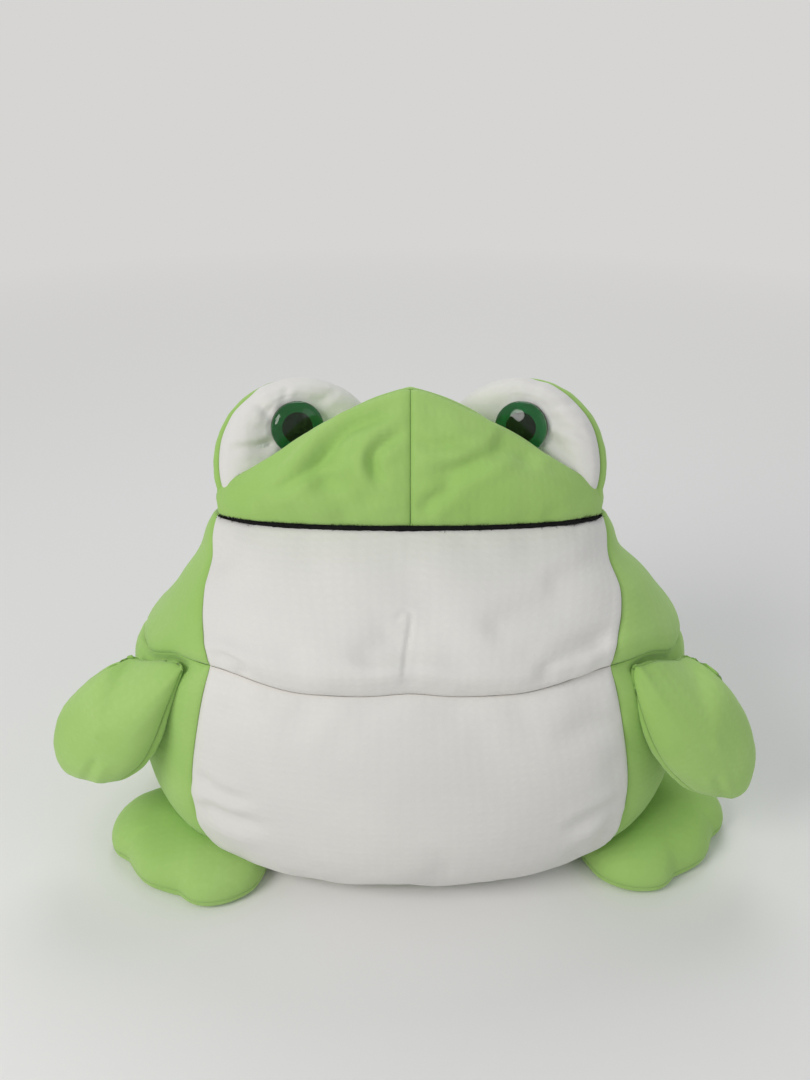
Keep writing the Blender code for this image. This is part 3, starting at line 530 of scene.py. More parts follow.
def planeAxes(lean):
    tilt = np.radians(lean)
    zero = np.zeros_like(tilt)
    forward = np.stack([zero, -np.cos(tilt), np.sin(tilt)], axis=-1)
    upward = np.stack([zero, np.sin(tilt), np.cos(tilt)], axis=-1)
    return forward, upward


def bodyPoints(places, angles):
    # places counts the stations up from the base, angles go from the front towards the right
    places = np.atleast_1d(np.asarray(places, float))
    places, angles = np.broadcast_arrays(places if places.ndim > 1 else places[:, None], np.atleast_2d(angles))
    stations = resample(np.array(body["stations"], float), places.ravel()).reshape(*places.shape, 5)
    height, lean, half, front, rear = (stations[..., index] for index in range(5))
    # the sides are slimmer than the stations below the neck, the left one more so
    (neck, reach), (shoulder, wide) = body["neckTuckAt"], body["shoulderTuckAt"]
    tuck = body["neckTuck"] * np.exp(-((places - neck) / reach) ** 2)
    tuck = tuck + np.where(angles < 0, *body["shoulderTucks"]) * np.exp(-((places - shoulder) / wide) ** 4)
    half = half - tuck * ease((np.abs(angles) / math.pi - body["tuckStart"]) / body["tuckEase"])
    across = half * power(np.sin(angles), 2 / body["squareness"])
    reach = power(np.cos(angles), 2 / body["squareness"])
    ahead = reach * np.where(reach > 0, front, rear)
    forward, _ = planeAxes(lean)
    points = np.zeros(across.shape + (3,))
    points[..., 0] = across
    points[..., 2] = height
    return points + forward * ahead[..., None]


def waistPlace(angles):
    # the waist seam climbs towards the arms and comes down again behind them
    turn = np.abs(angles) / math.pi
    start = body["climbStart"]
    climb = ease((turn / body["whiteEdges"][body["waistStation"]] - start) / (1 - start))
    return body["waistRise"] * climb * (1 - ease((turn - body["fallStart"]) / body["fallReach"]))


def makeBody():
    white, side, per = body["whiteColumns"], body["sideColumns"], body["ringsPerStation"]
    columns, tall = 2 * (white + side), per * (len(body["stations"]) - 1)
    places = np.arange(tall + 1) / per
    edges = resample(np.array(body["whiteEdges"])[:, None], places)[:, 0] * math.pi
    front = edges[:, None] * np.arange(white) / white
    rear = edges[:, None] + (math.pi - edges[:, None]) * np.arange(side + 1) / side
    half = np.concatenate([front, rear], axis=1)
    angles = np.concatenate([half, -half[:, -2:0:-1]], axis=1)
    near = np.exp(-((places - body["waistStation"]) / body["riseReach"]) ** 2)
    rings = bodyPoints(places[:, None] + near[:, None] * waistPlace(angles), angles)
    outline = rings[0]
    base = []
    for share in (0,) + body["capShares"]:
        ring = outline * share
        ring[:, 2] = outline[:, 2] * max(0, (share - 0.9) / 0.1) ** 2
        base.append(ring)
    middle = rings[-1].mean(axis=0)
    neck = [middle + (rings[-1] - middle) * share for share in body["capShares"][::-1] + (0,)]
    grid = np.concatenate([np.array(base), rings, np.array(neck)])
    form = makeForm(grid)
    first = len(base)
    waist = first + body["waistStation"] * per
    seams = (white, columns - white, columns // 2)
    pulled = np.zeros(grid.shape[:2])
    steps = np.arange(columns)
    for column in seams:
        depth = body["seamDepth"] * (0.5 if column == columns // 2 else 1)
        near = np.maximum(0, 1 - np.abs(steps - column) / body["seamColumns"]) ** 2
        pulled[first + 1:first + tall] = np.maximum(pulled[first + 1:first + tall], depth * near)
    for ring in range(first, first + tall):
        near = max(0, 1 - abs(ring - waist) / body["waistRings"]) ** 2
        pulled[ring] = np.maximum(pulled[ring], body["waistDepth"] * near)
    dartEnd = waist + int(body["dartStations"] * per)
    for ring in range(waist, dartEnd):
        fade = min(1, (dartEnd - ring) / body["dartRings"])
        near = np.maximum(0, 1 - np.minimum(steps, columns - steps) / body["seamColumns"]) ** 2
        pulled[ring] = np.maximum(pulled[ring], body["dartDepth"] * fade * near)
    # the chest hangs over the waist in front, on both sides of the dart
    rows = np.arange(len(grid))[:, None] - waist
    front = np.exp(-(np.minimum(steps, columns - steps) / white) ** 4)
    (most, reach), (low, dent) = body["overhangRings"], body["dentRings"]
    pulled -= body["overhang"] * front * np.exp(-((rows - most) / reach) ** 2) * (rows > 0)
    pulled += body["bellyTuck"] * front * np.exp(-(rows / body["tuckRings"]) ** 2) * (rows < 0)
    # and the arms' roots press the sides in below it
    turn = angles[waist - first]
    turn = np.abs(np.where(turn > math.pi, turn - 2 * math.pi, turn))
    pressed = np.exp(-((turn / math.pi - body["armPlace"]) / body["armReach"]) ** 4)
    pulled += body["armDent"] * pressed * np.exp(-((rows - low) / dent) ** 2) * (rows < 0)
    grid = grid - form["ways"] * pulled[..., None]
    # the dart draws the middle of the waist seam up a little
    near = np.exp(-(grid[..., 0] / body["cuspWidth"]) ** 2) * (grid[..., 1] < 0)
    rings = np.arange(len(grid))[:, None]
    grid[..., 2] += body["cuspRise"] * near * np.exp(-((rings - waist) / body["cuspRings"]) ** 2)
    held = np.zeros(grid.shape[:2])
    held[[first, waist, first + tall]] = 1
    held[first:first + tall, list(seams)] = 1
    held[waist:dartEnd, 0] = 1
    sewn = held.copy()
    held[:first] = 1
    held[first + tall:] = 1
    limit = np.ones(grid.shape[:2])
    limit[waist + 1:, white + 1:columns - white] = body["sideSwell"]
    limit[waist - body["calmRings"]:waist] *= 1 - body["armCalm"] * pressed
    form = inflate("body", makeForm(grid), held, body["cloth"], limit)
    form.update(first=first, waist=waist, last=first + tall, white=white, columns=columns, seams=sewn,
                turns=turn[:columns // 2 + 1], strokes=strokes["chest"] + strokes["belly"])
    print("body form", grid.shape)
    return form


# Head: a half-moon on the neck, folded along its ridge

head = {
    "ridgeHeight": 0.066, "gable": 0.48, "peak": 0.07, "ridgeShift": 0.0040, "ridgeRounding": 4,
    "ridgeForward": 0.004, "endHeight": 0.011, "bulge": 0.007,
    "dip": 0.017, "dipShare": 0.6, "endShare": 0.955, "endLift": 0.0055, "fall": 1.9, "round": 1.6,
    "stations": 72, "snoutColumns": 22, "crownColumns": 34, "floorColumns": 12, "bed": 0.00015,
    "cloth": {"pressure": 4, "growth": 0.02, "mass": 0.01, "bending": 0.4, "cap": 0.005, "frames": 24, "calm": 3},
}


def neckFrame():
    forward, upward = planeAxes(float(neckLean))
    return np.array([0, 0, neckHeight]), np.array([1.0, 0, 0]), forward, upward


def makeHead():
    middle, across, forward, upward = neckFrame()
    square = body["squareness"]
    rings = []
    shares = head["endShare"] * np.sin(math.pi * (np.arange(head["stations"] + 1) / head["stations"] - 0.5))
    for share in shares:
        side = abs(share)
        chord = (1 - side ** square) ** (1 / square)
        front, rear = neckFront * chord, neckRear * chord
        slope = math.hypot(side, head["peak"]) - head["peak"]
        ridge = head["ridgeHeight"] * (1 - head["gable"] * slope - (1 - head["gable"]) * side ** 2)
        ridge += head["endHeight"] * side ** 4
        crest = front + head["ridgeForward"] * chord
        rise = np.arange(head["snoutColumns"]) / head["snoutColumns"]
        ahead = front + (crest - front) * rise + head["bulge"] * chord * np.sin(math.pi * rise)
        above = ridge * rise
        back = np.arange(head["crownColumns"] + 1) / head["crownColumns"]
        back = 0.5 * (1 - np.cos(back * math.pi / 2)) + 0.5 * back
        fall = np.clip(1 - back ** head["fall"], 0, 1) ** (1 / head["round"])
        dip = head["dip"] * math.sin(math.pi * side) * np.sin(math.pi * np.minimum(1, back / head["dipShare"])) ** 2
        ahead = np.concatenate([ahead, crest - (crest + rear) * back])
        above = np.concatenate([above, ridge * fall - dip * fall])
        floor = np.arange(1, head["floorColumns"]) / head["floorColumns"]
        ahead = np.concatenate([ahead, -rear + (front + rear) * floor])
        above = np.maximum(np.concatenate([above, 0 * floor]), 0) + head["bed"]
        place = neckHalfWidth * share
        rings.append(middle + across * place + ahead[:, None] * forward + above[:, None] * upward)
    rings = np.array(rings)
    snout, crown = head["snoutColumns"], head["crownColumns"]
    for _ in range(head["ridgeRounding"]):
        fold = slice(snout - 4, snout + 5)
        rings[:, fold] = (rings[:, snout - 5:snout + 4] + 2 * rings[:, fold] + rings[:, snout - 3:snout + 6]) / 4
    turned = rings[:, :snout + crown + 1].transpose(1, 0, 2)
    turned = moveSeam(turned, snout, head["ridgeShift"] * (1 - np.abs(shares) ** square) ** (1 / square))
    rings[:, :snout + crown + 1] = turned.transpose(1, 0, 2)
    lift = upward * (head["bed"] + head["endLift"])
    ends = [np.broadcast_to(middle + across * side * neckHalfWidth + lift, rings[:1].shape) for side in (-1, 1)]
    grid = np.concatenate([ends[0], rings, ends[1]])
    held = np.zeros(grid.shape[:2])
    held[:, [0, snout, snout + crown]] = 1
    half = 1 + head["stations"] // 2
    held[half, :snout] = 1
    sewn = held.copy()
    held[:2] = held[-2:] = 1
    held[:, snout + crown:] = 1
    form = inflate("head", makeForm(grid), held, head["cloth"])
    form.update(half=half, snout=snout, crown=crown, seams=sewn,
                strokes=strokes["snoutLeft"] + strokes["snoutRight"])
    print("head form", grid.shape)
    return form


# Pillows: eye lobes, arms and feet

profiles = {  # share of the way from the middle to the edge, and height
    "front": ((0, 1), (0.42, 0.94), (0.74, 0.74), (0.93, 0.42), (1, 0)),
    "back": ((1, 0), (1.03, 0.25), (0.94, 0.7), (0.55, 0.97), (0, 1)),
    "sole": ((1, 0), (0.95, 0.7), (0.82, 1.0), (0, 1)),
}
pillow = {
    "waves": 3, "fading": 2.5,  # how many turns of the outline reach inwards, and how soon the others fade
    "steps": 14,
    "cloth": {"pressure": 8, "growth": 0.015, "mass": 0.002, "bending": 0.4, "cap": 0.003, "frames": 20, "calm": 4},
}


def readProfile(name, steps):
    rows = resample(np.array(profiles[name], float), np.linspace(0, len(profiles[name]) - 1, steps + 1))
    return rows[:, 0], np.clip(rows[:, 1], 0, 1)


def pillowGrid(outline, middle, frameWays, back, bulges, seat=None, press=None):
    steps = pillow["steps"]
    origin, across, along, facing = frameWays
    outline, middle = np.asarray(outline, float), np.asarray(middle, float)
    waves = np.fft.fft(outline[:, 0] + 1j * outline[:, 1])
    waves[pillow["waves"] + 1:-pillow["waves"]] = 0
    plain = np.fft.ifft(waves)
    plain = np.stack([plain.real, plain.imag], axis=1)

    def rings(shares, heights):
        # only the rim keeps the outline's small turns
        flat = plain + (outline - plain) * (shares ** pillow["fading"])[..., None]
        flat = middle + (flat - middle) * shares[..., None]
        return origin + flat[..., :1] * across + flat[..., 1:] * along + heights[..., None] * facing

    shares, heights = readProfile("front", steps)
    shares = np.repeat(shares[:, None], len(outline), axis=1)
    heights = np.repeat(heights[:, None], len(outline), axis=1) * bulges[0]
    if seat:
        radius, depth, hole = seat
        reach = np.linalg.norm(outline - middle, axis=1)
        start = radius / reach
        steps = len(shares) - 3
        inner = np.stack([0 * reach, hole / reach, start * 0.6, start])
        outer = start + (1 - start) * (np.arange(1, steps + 1)[:, None] / steps)
        rows = np.array(profiles["front"], float)
        fine = resample(rows, np.linspace(0, len(rows) - 1, 81))
        tall = np.interp(outer, fine[:, 0], fine[:, 1]) * bulges[0]
        bed = bulges[0] - depth
        tall = bed + (tall - bed) * np.where(tall > bed, ease((outer - start) / lobe["seatSlope"]), 1)
        tall[-1] = 0
        shares = np.concatenate([inner, outer])
        heights = np.concatenate([np.full(inner.shape, bed), tall])
    front = rings(shares, heights)
    backShares, backHeights = readProfile(back, steps)
    backShares = np.repeat(backShares[1:, None], len(outline), axis=1)
    backHeights = np.repeat(backHeights[1:, None], len(outline), axis=1)
    rear = rings(backShares, -backHeights * bulges[1])
    grid = np.concatenate([front, rear])
    if press:
        (place, normal), way, rounding = press
        above = (grid - place) @ normal
        above = (above + np.sqrt(above ** 2 + rounding ** 2)) / 2 / (normal @ way)
        grid = grid - above[..., None] * way
    return grid, len(front) - 1


def stuffPillow(name, grid, rim, ways, fixed=slice(0)):
    held = np.zeros(grid.shape[:2])
    held[rim] = 1
    held[fixed] = 1
    form = inflate(name, makeForm(grid), held, pillow["cloth"])
    form.update(rim=rim, axes=ways)
    return form


lobe = {
    "seatSlope": 0.40, "folds": 0.0008, "foldReach": 0.010,
    "seamShifts": {"left": (0.0150, 60), "right": (0.0105, -60)},  # how far back at most, and at what angle
    "radius": 0.042, "inset": 0.046, "forward": 0.012, "height": 0.025, "faceBulge": 0.013, "backBulge": 0.020,
    "turns": {"left": 18, "right": 22}, "columns": 64,
}
eye = {
    "diameter": 0.026, "above": 0.020, "outward": 0.0048, "seatDepth": 0.004, "seatMargin": 0.0012,
    "gap": 0.0003, "plate": 0.0012, "irisThickness": 0.0009, "pupil": 0.0138, "lensHeight": 0.0058,
    "lensEdge": 0.0012, "stem": 0.0050, "stemLength": 0.0145, "rib": 0.0004, "ribs": 4,
    "washer": 0.0150, "washerThickness": 0.0014, "washerLip": 0.0009, "cloth": 0.0012, "sides": 72,
    "soft": 0.00015, "lensSteps": 18, "smoothAngle": 38,
    "clear": 0.0008, "hollowTop": 0.006,  # room round the stem in the lobe's filling
}
sides = ((-1, "left"), (1, "right"))


def lobeFrame(side, word):
    middle, across, forward, upward = neckFrame()
    place = middle + across * side * (neckHalfWidth - lobe["inset"]) + forward * lobe["forward"]
    place = place + upward * lobe["height"]
    turn = math.radians(lobe["turns"][word])
    facing = forward * math.cos(turn) - across * side * math.sin(turn)
    return place, np.cross(upward, facing), upward, facing


def makeLobe(side, word):
    angles = 2 * math.pi * np.arange(lobe["columns"]) / lobe["columns"]
    outline = lobe["radius"] * np.stack([np.sin(angles), np.cos(angles)], axis=1)
    hole = eye["stem"] / 2 + eye["rib"] + eye["gap"]
    seat = (eye["diameter"] / 2 + eye["seatMargin"], eye["seatDepth"], hole)
    ways = lobeFrame(side, word)
    grid, rim = pillowGrid(outline, (side * eye["outward"], eye["above"]), ways, "back",
                           (lobe["faceBulge"], lobe["backBulge"]), seat)
    most, angle = lobe["seamShifts"][word]
    grid = moveSeam(grid, rim, most * (0.5 + 0.5 * np.cos(angles - math.radians(angle))), 3)
    return stuffPillow("lobe" + word, grid, rim, ways, slice(4))


arm = {
    "halfLength": 0.045, "middle": -0.1, "bulges": (0.0155, 0.013),
    "outlines": {  # millimetres across and along, clockwise from the root
        "left": ((-2, 45), (8, 44.5), (13, 39), (17, 23), (21, 8), (23.5, -9), (20.5, -27), (15, -36.5), (8.5, -43),
                 (0.5, -50), (-9, -54), (-20.5, -46), (-28.5, -27), (-28, -10), (-26, 4), (-21.5, 20), (-15.5, 36),
                 (-10, 43.5)),
        "right": ((0, 45), (9, 43.5), (16, 36), (26, 14), (29, -15), (24.5, -38), (16.5, -49.5), (8.5, -56),
                  (2, -56.5), (-4.5, -50.5), (-12, -40.5), (-17.5, -31), (-22, -15), (-24, 1), (-23, 20), (-20, 35),
                  (-15, 43), (-8, 45)),
    },
    "root": 0.30, "rootSpan": 0.1, "rootDrop": 0.003, "tuck": 0.006, "standOff": 0.006,
    "rootSpots": (-0.018, -0.012, 0.010, 0.018), "rootTurns": (0.248, 0.256, 0.410, 0.424),
    "rootBlend": 0.004, "rootReach": 0.034, "rootTop": 0.80, "rootGather": 0.5, "rootProud": 0.0020,
    "rootFlatness": 0.55, "folds": 0.0003, "foldReach": 0.011, "foldPitch": 0.0065, "foldLean": 0.1,
    "calm": 6, "presses": 3, "pressCalm": 2, "clearance": 0.0003, "fillInsets": (0.0070, 0.0090, 0.0040),
    "splay": {"left": 34, "right": 26}, "turn": 28, "pitch": 12, "pressAngle": 28, "pressRounding": 0.007,
    "bend": 0.020, "columns": 72,
}


def armFrame(side, word):
    root = bodyPoints(body["waistStation"], side * arm["root"] * math.pi)[0, 0]
    turn = Matrix.Rotation(math.radians(side * arm["turn"]), 3, "Z")
    pitch = Matrix.Rotation(math.radians(-arm["pitch"]), 3, "X")
    splay = Matrix.Rotation(math.radians(-side * arm["splay"][word]), 3, "Y")
    ways = turn @ pitch @ splay
    across, up, facing = (np.array(ways @ Vector(way)) for way in ((1, 0, 0), (0, 0, 1), (0, -1, 0)))
    return root - up * (arm["halfLength"] - arm["tuck"]) + facing * arm["standOff"], across, up, facing


def armHinge(side):
    spots = [bodyPoints(body["waistStation"], side * (arm["root"] + step) * math.pi)[0, 0]
             for step in (-arm["rootSpan"], 0, arm["rootSpan"])]
    return spots[1] - np.array([0, 0, arm["rootDrop"]]), unit(spots[0] - spots[2]) * side


def swingPlane(place, axis, angle):
    outward = unit(np.cross([0, 0, 1], axis))
    upward = np.cross(axis, outward)
    turn = math.radians(angle)
    return place, upward * math.cos(turn) - outward * math.sin(turn)


def bodyTree():
    grid = bodyForm["grid"]
    tree = BVHTree.FromPolygons(gridPoints(grid).tolist(), closedFaces(*grid.shape[:2]))
    _, normal, _, _ = tree.find_nearest((0, -1, neckHeight / 2))
    return tree, -1 if normal.y > 0 else 1


def calmGrid(grid, rim, times):
    # smooths a pillow and keeps its rim
    seamed = grid[rim].copy()
    for _ in range(times):
        around = np.roll(grid, 1, axis=1) + np.roll(grid, -1, axis=1)
        grid[2:-2] = (4 * grid[2:-2] + around[2:-2] + grid[1:-3] + grid[3:-1]) / 8
        grid[rim] = seamed
    return grid


def pressOff(grid, rim):
    # lays a pillow against the body where the two would overlap
    tree, turn = bodyTree()
    for step in range(arm["presses"]):
        if step:
            grid = calmGrid(grid, rim, arm["pressCalm"])
        spots = grid.reshape(-1, 3)
        for index, spot in enumerate(spots):
            near, normal, _, _ = tree.find_nearest(spot)
            normal = normal * turn
            if (Vector(spot) - near) @ normal < arm["clearance"]:
                spots[index] = near + normal * arm["clearance"]
    return grid


def makeArm(side, word):
    outline = np.array(arm["outlines"][word]) / 1000
    outline = resample(outline, len(outline) * np.arange(arm["columns"]) / arm["columns"], True)
    ways = armFrame(side, word)
    place, axis = armHinge(side)
    press = swingPlane(place, axis, arm["pressAngle"]), ways[2], arm["pressRounding"]
    grid, rim = pillowGrid(outline, (0, arm["halfLength"] * arm["middle"]), ways, "back",
                           arm["bulges"], press=press)
    # the root is drawn flat into the waist seam
    origin, across, along, facing = ways
    aside, above, ahead = ((grid - origin) @ way for way in (across, along, facing))
    start = arm["halfLength"] - arm["rootReach"]
    share = ease((above - start) / arm["rootReach"] / arm["rootTop"])
    grid = grid - facing * (ahead * arm["rootFlatness"] * share)[..., None]
    spots = np.clip(aside * side, arm["rootSpots"][0], arm["rootSpots"][-1])
    shifts = arm["rootBlend"] * np.linspace(-1, 1, 9)
    turns = [np.interp(spots + shift, arm["rootSpots"], arm["rootTurns"]) for shift in shifts]
    turns = math.pi * np.mean(turns, axis=0)
    columns = np.interp(turns, bodyForm["turns"], np.arange(len(bodyForm["turns"])))
    line = bodyForm["grid"][bodyForm["waist"]]
    seam = resample(line, (columns * side).ravel() % len(line), True).reshape(grid.shape)
    seam = seam + unit(seam * (1, 1, 0)) * arm["rootProud"]
    high = arm["halfLength"] - (arm["halfLength"] - above) * arm["rootGather"]
    edge = origin + across * (spots * side)[..., None] + along * high[..., None]
    grid = grid + share[..., None] * (seam - edge)
    grid = calmGrid(grid, rim, arm["calm"])
    form = stuffPillow("arm" + word, grid, rim, ways)
    form.update(makeForm(pressOff(form["grid"], rim)), hinge=place, end=place - ways[2] * arm["bend"],
                fillInsets=arm["fillInsets"])
    return form


foot = {
    "place": {"left": 0.332, "right": 0.393}, "tuck": {"left": 0.0127, "right": 0.0058},
    "heading": {"left": 38, "right": 48}, "reach": 0.052, "notch": 0.0050, "rootReach": 0.016, "toes": 3,
    "middleToe": 0.008, "middleWidth": 0.55, "spread": 57, "roundness": 0.7, "bulges": (0.021, 0.0062),
    "pressAngle": 21, "pressRounding": 0.004, "standOff": 0.001, "bend": 0.008, "columns": 108,
}


def footHinge(side, word):
    place = bodyPoints(1, side * foot["place"][word] * math.pi)[0, 0]
    _, _, half, front, rear = body["stations"][1]
    ahead = -place[1]
    reach = front if ahead > 0 else rear
    steep = body["squareness"] - 1
    out = unit([power(place[0] / half, steep) / half, -power(ahead / reach, steep) / reach, 0])
    return place + out * foot["standOff"], np.cross(out, [0, 0, 1]), out


def makeFoot(side, word):
    place, axis, out = footHinge(side, word)
    heading = math.radians(foot["heading"][word])
    way = np.array([side * math.sin(heading), -math.cos(heading), 0])
    origin = (place - way * foot["tuck"][word]) * (1, 1, 0) + (0, 0, foot["bulges"][1])
    angles = 2 * math.pi * (np.arange(foot["columns"]) / foot["columns"] - 0.5)
    spread = math.radians(foot["spread"])
    toesEnd = spread * foot["toes"] / 2
    valley = 1 - np.abs(np.cos(math.pi * angles / spread)) ** foot["roundness"]
    low = foot["reach"] - foot["notch"]
    root = low + (foot["rootReach"] - low) * (np.abs(angles) - toesEnd) / (math.pi - toesEnd)
    short = foot["middleToe"] * np.exp(-(angles / (spread * foot["middleWidth"])) ** 4)
    reach = np.where(np.abs(angles) <= toesEnd, foot["reach"] - foot["notch"] * valley - short, root)
    outline = np.stack([side * reach * np.sin(heading + angles), -reach * np.cos(heading + angles)], axis=1)
    ways = origin, np.array([1.0, 0, 0]), np.array([0, 1.0, 0]), np.array([0, 0, 1.0])
    press = swingPlane(place, axis, foot["pressAngle"]), ways[3], foot["pressRounding"]
    grid, rim = pillowGrid(outline, (0, 0), ways, "sole", foot["bulges"], press=press)
    form = stuffPillow("foot" + word, grid, rim, ways, slice(rim + 3, None))
    form.update(hinge=place - out * foot["bend"], end=place + out * foot["bend"])
    return form


# Cloth panels: cut from a form, drawn in at their seams, gathered and folded

panel = {
    "thickness": 0.0012, "gap": 0.0001, "edge": 0.005, "foldEnd": 0.0035, "lowest": 0.0001, "sunk": 0.0004,
    "fillInsets": (0.0032, 0.0032, 0.0017), "seamFill": 0.0030, "seamReach": 0.008,
    "seamWidth": 0.0042, "seamDepth": 0.0011, "pucker": 0.00016, "puckerReach": 0.006, "puckerPitch": 0.012,
    # on the next line, the last two set the reach and the strength of the painted shade along the seams
    "edgeSteps": (0, 0.08, 0.2, 0.38, 0.62), "pitch": 0.0021, "seamShadeReach": 0.0009, "seamShade": 0.35,
    "strokeEnds": 0.3, "swellAt": 1.6, "swellWidth": 1.1, "farSwell": 0.4,
    "fillGap": 0.0004,  # between the cloth and its filling
}


def rowPlaces(length, pitch, fineStart=True, fineEnd=True):
    # places along a panel, close together near its seams
    near = panel["edge"] * np.array(panel["edgeSteps"]) + panel["gap"] / 2
    start = near if fineStart else np.array([0.0])
    end = length - (near[::-1] if fineEnd else np.array([0.0]))
    low, high = start[-1], end[0]
    inner = np.linspace(low, high, max(2, round((high - low) / pitch) + 1))
    return np.concatenate([start, inner[1:-1], end])


def waver(places, pitch, seed):
    # an uneven wave along a seam, the same on each run
    draw = np.random.default_rng(seed)
    total = 0
    for step in range(5):
        length = pitch * (0.7 + 0.28 * step)
        total = total + np.sin(places * 2 * math.pi / length + draw.uniform(0, 2 * math.pi)) * draw.uniform(0.5, 1)
    return total / 2.2


def strokeDepth(pixels, line, width, lean):
    # how far each point is from a line drawn on the photograph: a furrow with a swell on one side
    line = np.array(line, float)
    fine = resample(line, np.linspace(0, len(line) - 1, 8 * len(line)))
    best = np.full(pixels.shape[:-1], 1e9)
    side = np.zeros(pixels.shape[:-1])
    place = np.zeros(pixels.shape[:-1])
    for index in range(len(fine) - 1):
        start, way = fine[index], fine[index + 1] - fine[index]
        size = way @ way
        share = np.clip(((pixels - start) @ way) / size, 0, 1)
        away = pixels - start - share[..., None] * way
        far = np.linalg.norm(away, axis=-1)
        closer = far < best
        best = np.where(closer, far, best)
        turn = way[0] * away[..., 1] - way[1] * away[..., 0]
        side = np.where(closer, np.sign(turn), side)
        place = np.where(closer, (index + share) / (len(fine) - 1), place)
    fade = ease(place / panel["strokeEnds"]) * ease((1 - place) / panel["strokeEnds"])
    signed = best * side / width
    near, far = (np.exp(-((signed + way * panel["swellAt"]) / panel["swellWidth"]) ** 2) for way in (-1, 1))
    return fade * (-np.exp(-signed ** 2) + lean * near + abs(lean) * panel["farSwell"] * far)


def strokeShift(points, ways, marks):
    shift = np.zeros(points.shape[:-1])
    if marks:
        pixels = onPhoto(points)
        # only cloth that faces the camera is marked
        facing = ease(((np.array(camera["place"]) - points) * ways).sum(axis=-1) / 0.05)
        for line, width, depth, lean in marks:
            shift += depth * facing * strokeDepth(pixels, line, width, lean)
    return shift


def makePanel(name, form, rings, columns, material, seed, seams=(1, 1, 1, 1), marks=(), flat=None, folds=None,
              pitch=panel["pitch"]):
    # rings is the first and last ring, columns the same or None for all round; seams weighs the groove
    # at the first ring, last ring, first column and last column
    grid = form["grid"]
    count = grid.shape[1]
    part, out = (values[rings[0]:rings[1] + 1] for values in (grid, form["ways"]))
    closed = columns is None
    if not closed:
        part, out = (values[:, np.arange(columns[0], columns[1] + 1) % count] for values in (part, out))
    down = lineLengths(part, 0).mean(axis=1)
    poles = [np.ptp(part[end], axis=0).max() < 1e-6 for end in (0, -1)]
    places = rowPlaces(down[-1], pitch, not poles[0] and seams[0] > 0, not poles[1] and seams[1] > 0)
    rows = np.interp(places, down, np.arange(len(down)))
    turned, turnedOut = (resample(values, rows).transpose(1, 0, 2) for values in (part, out))
    if closed:
        loop = np.concatenate([turned, turned[:1]])
        across = lineLengths(loop, 0)[-1].max()
        sideways = np.arange(0, count, count / max(24, round(across / pitch)))
        surface, ways = (resample(values, sideways, True).transpose(1, 0, 2) for values in (turned, turnedOut))
    else:
        wide = lineLengths(turned, 0).mean(axis=1)
        sideways = rowPlaces(wide[-1], pitch, seams[2] > 0, seams[3] > 0)
        columns = np.interp(sideways, wide, np.arange(len(wide)))
        surface, ways = (resample(values, columns).transpose(1, 0, 2) for values in (turned, turnedOut))
    ways = unit(ways)
    # distance from each seam, and the place along it
    rows = lineLengths(surface, 0)
    if closed:
        loop = np.concatenate([surface, surface[:, :1]], axis=1)
        cols = lineLengths(loop, 1)[:, :-1]
    else:
        cols = lineLengths(surface, 1)
    borders = [(rows, cols, seams[0] * (not poles[0])), (rows[-1:] - rows, cols, seams[1] * (not poles[1]))]
    if not closed:
        borders += [(cols, rows, seams[2]), (cols[:, -1:] - cols, rows, seams[3])]
    groove, gather, seamShade = (np.zeros(surface.shape[:2]) for _ in range(3))
    for index, (far, place, weight) in enumerate(borders):
        if not weight:
            continue
        width = panel["seamWidth"] * math.sqrt(weight)
        groove = np.maximum(groove, panel["seamDepth"] * weight * np.maximum(0, 1 - far / width) ** 2)
        reach = panel["puckerReach"] * math.sqrt(weight)
        rise = far / reach * np.exp(1 - far / reach)
        if closed:
            length = lineLengths(loop, 1)[:, -1:]
            waves = np.maximum(1, np.round(length / panel["puckerPitch"]))
            place = place / np.maximum(length, 1e-9) * waves * panel["puckerPitch"]
        gather += panel["pucker"] * weight * rise * waver(place, panel["puckerPitch"], seed * 7 + index)
        # painted shade: darker within a short reach of each seam, kept per point for the knit material
        seamShade = np.maximum(seamShade, np.exp(-far / panel["seamShadeReach"]) * panel["seamShade"])
    nearest = np.min([np.where(weight > 0, far, 1.0) for far, _, weight in borders], axis=0)
    shift = gather - groove + strokeShift(surface, ways, marks) * ease(nearest / panel["foldEnd"])
    if folds:
        shift = shift + folds(surface)
    surface = surface + ways * shift[..., None]
    surface[..., 2] = np.maximum(surface[..., 2], panel["lowest"])  # flat where it rests on the floor
    return meshPanel(name, surface, ways, seamShade, rows, cols, closed, poles, material, flat)


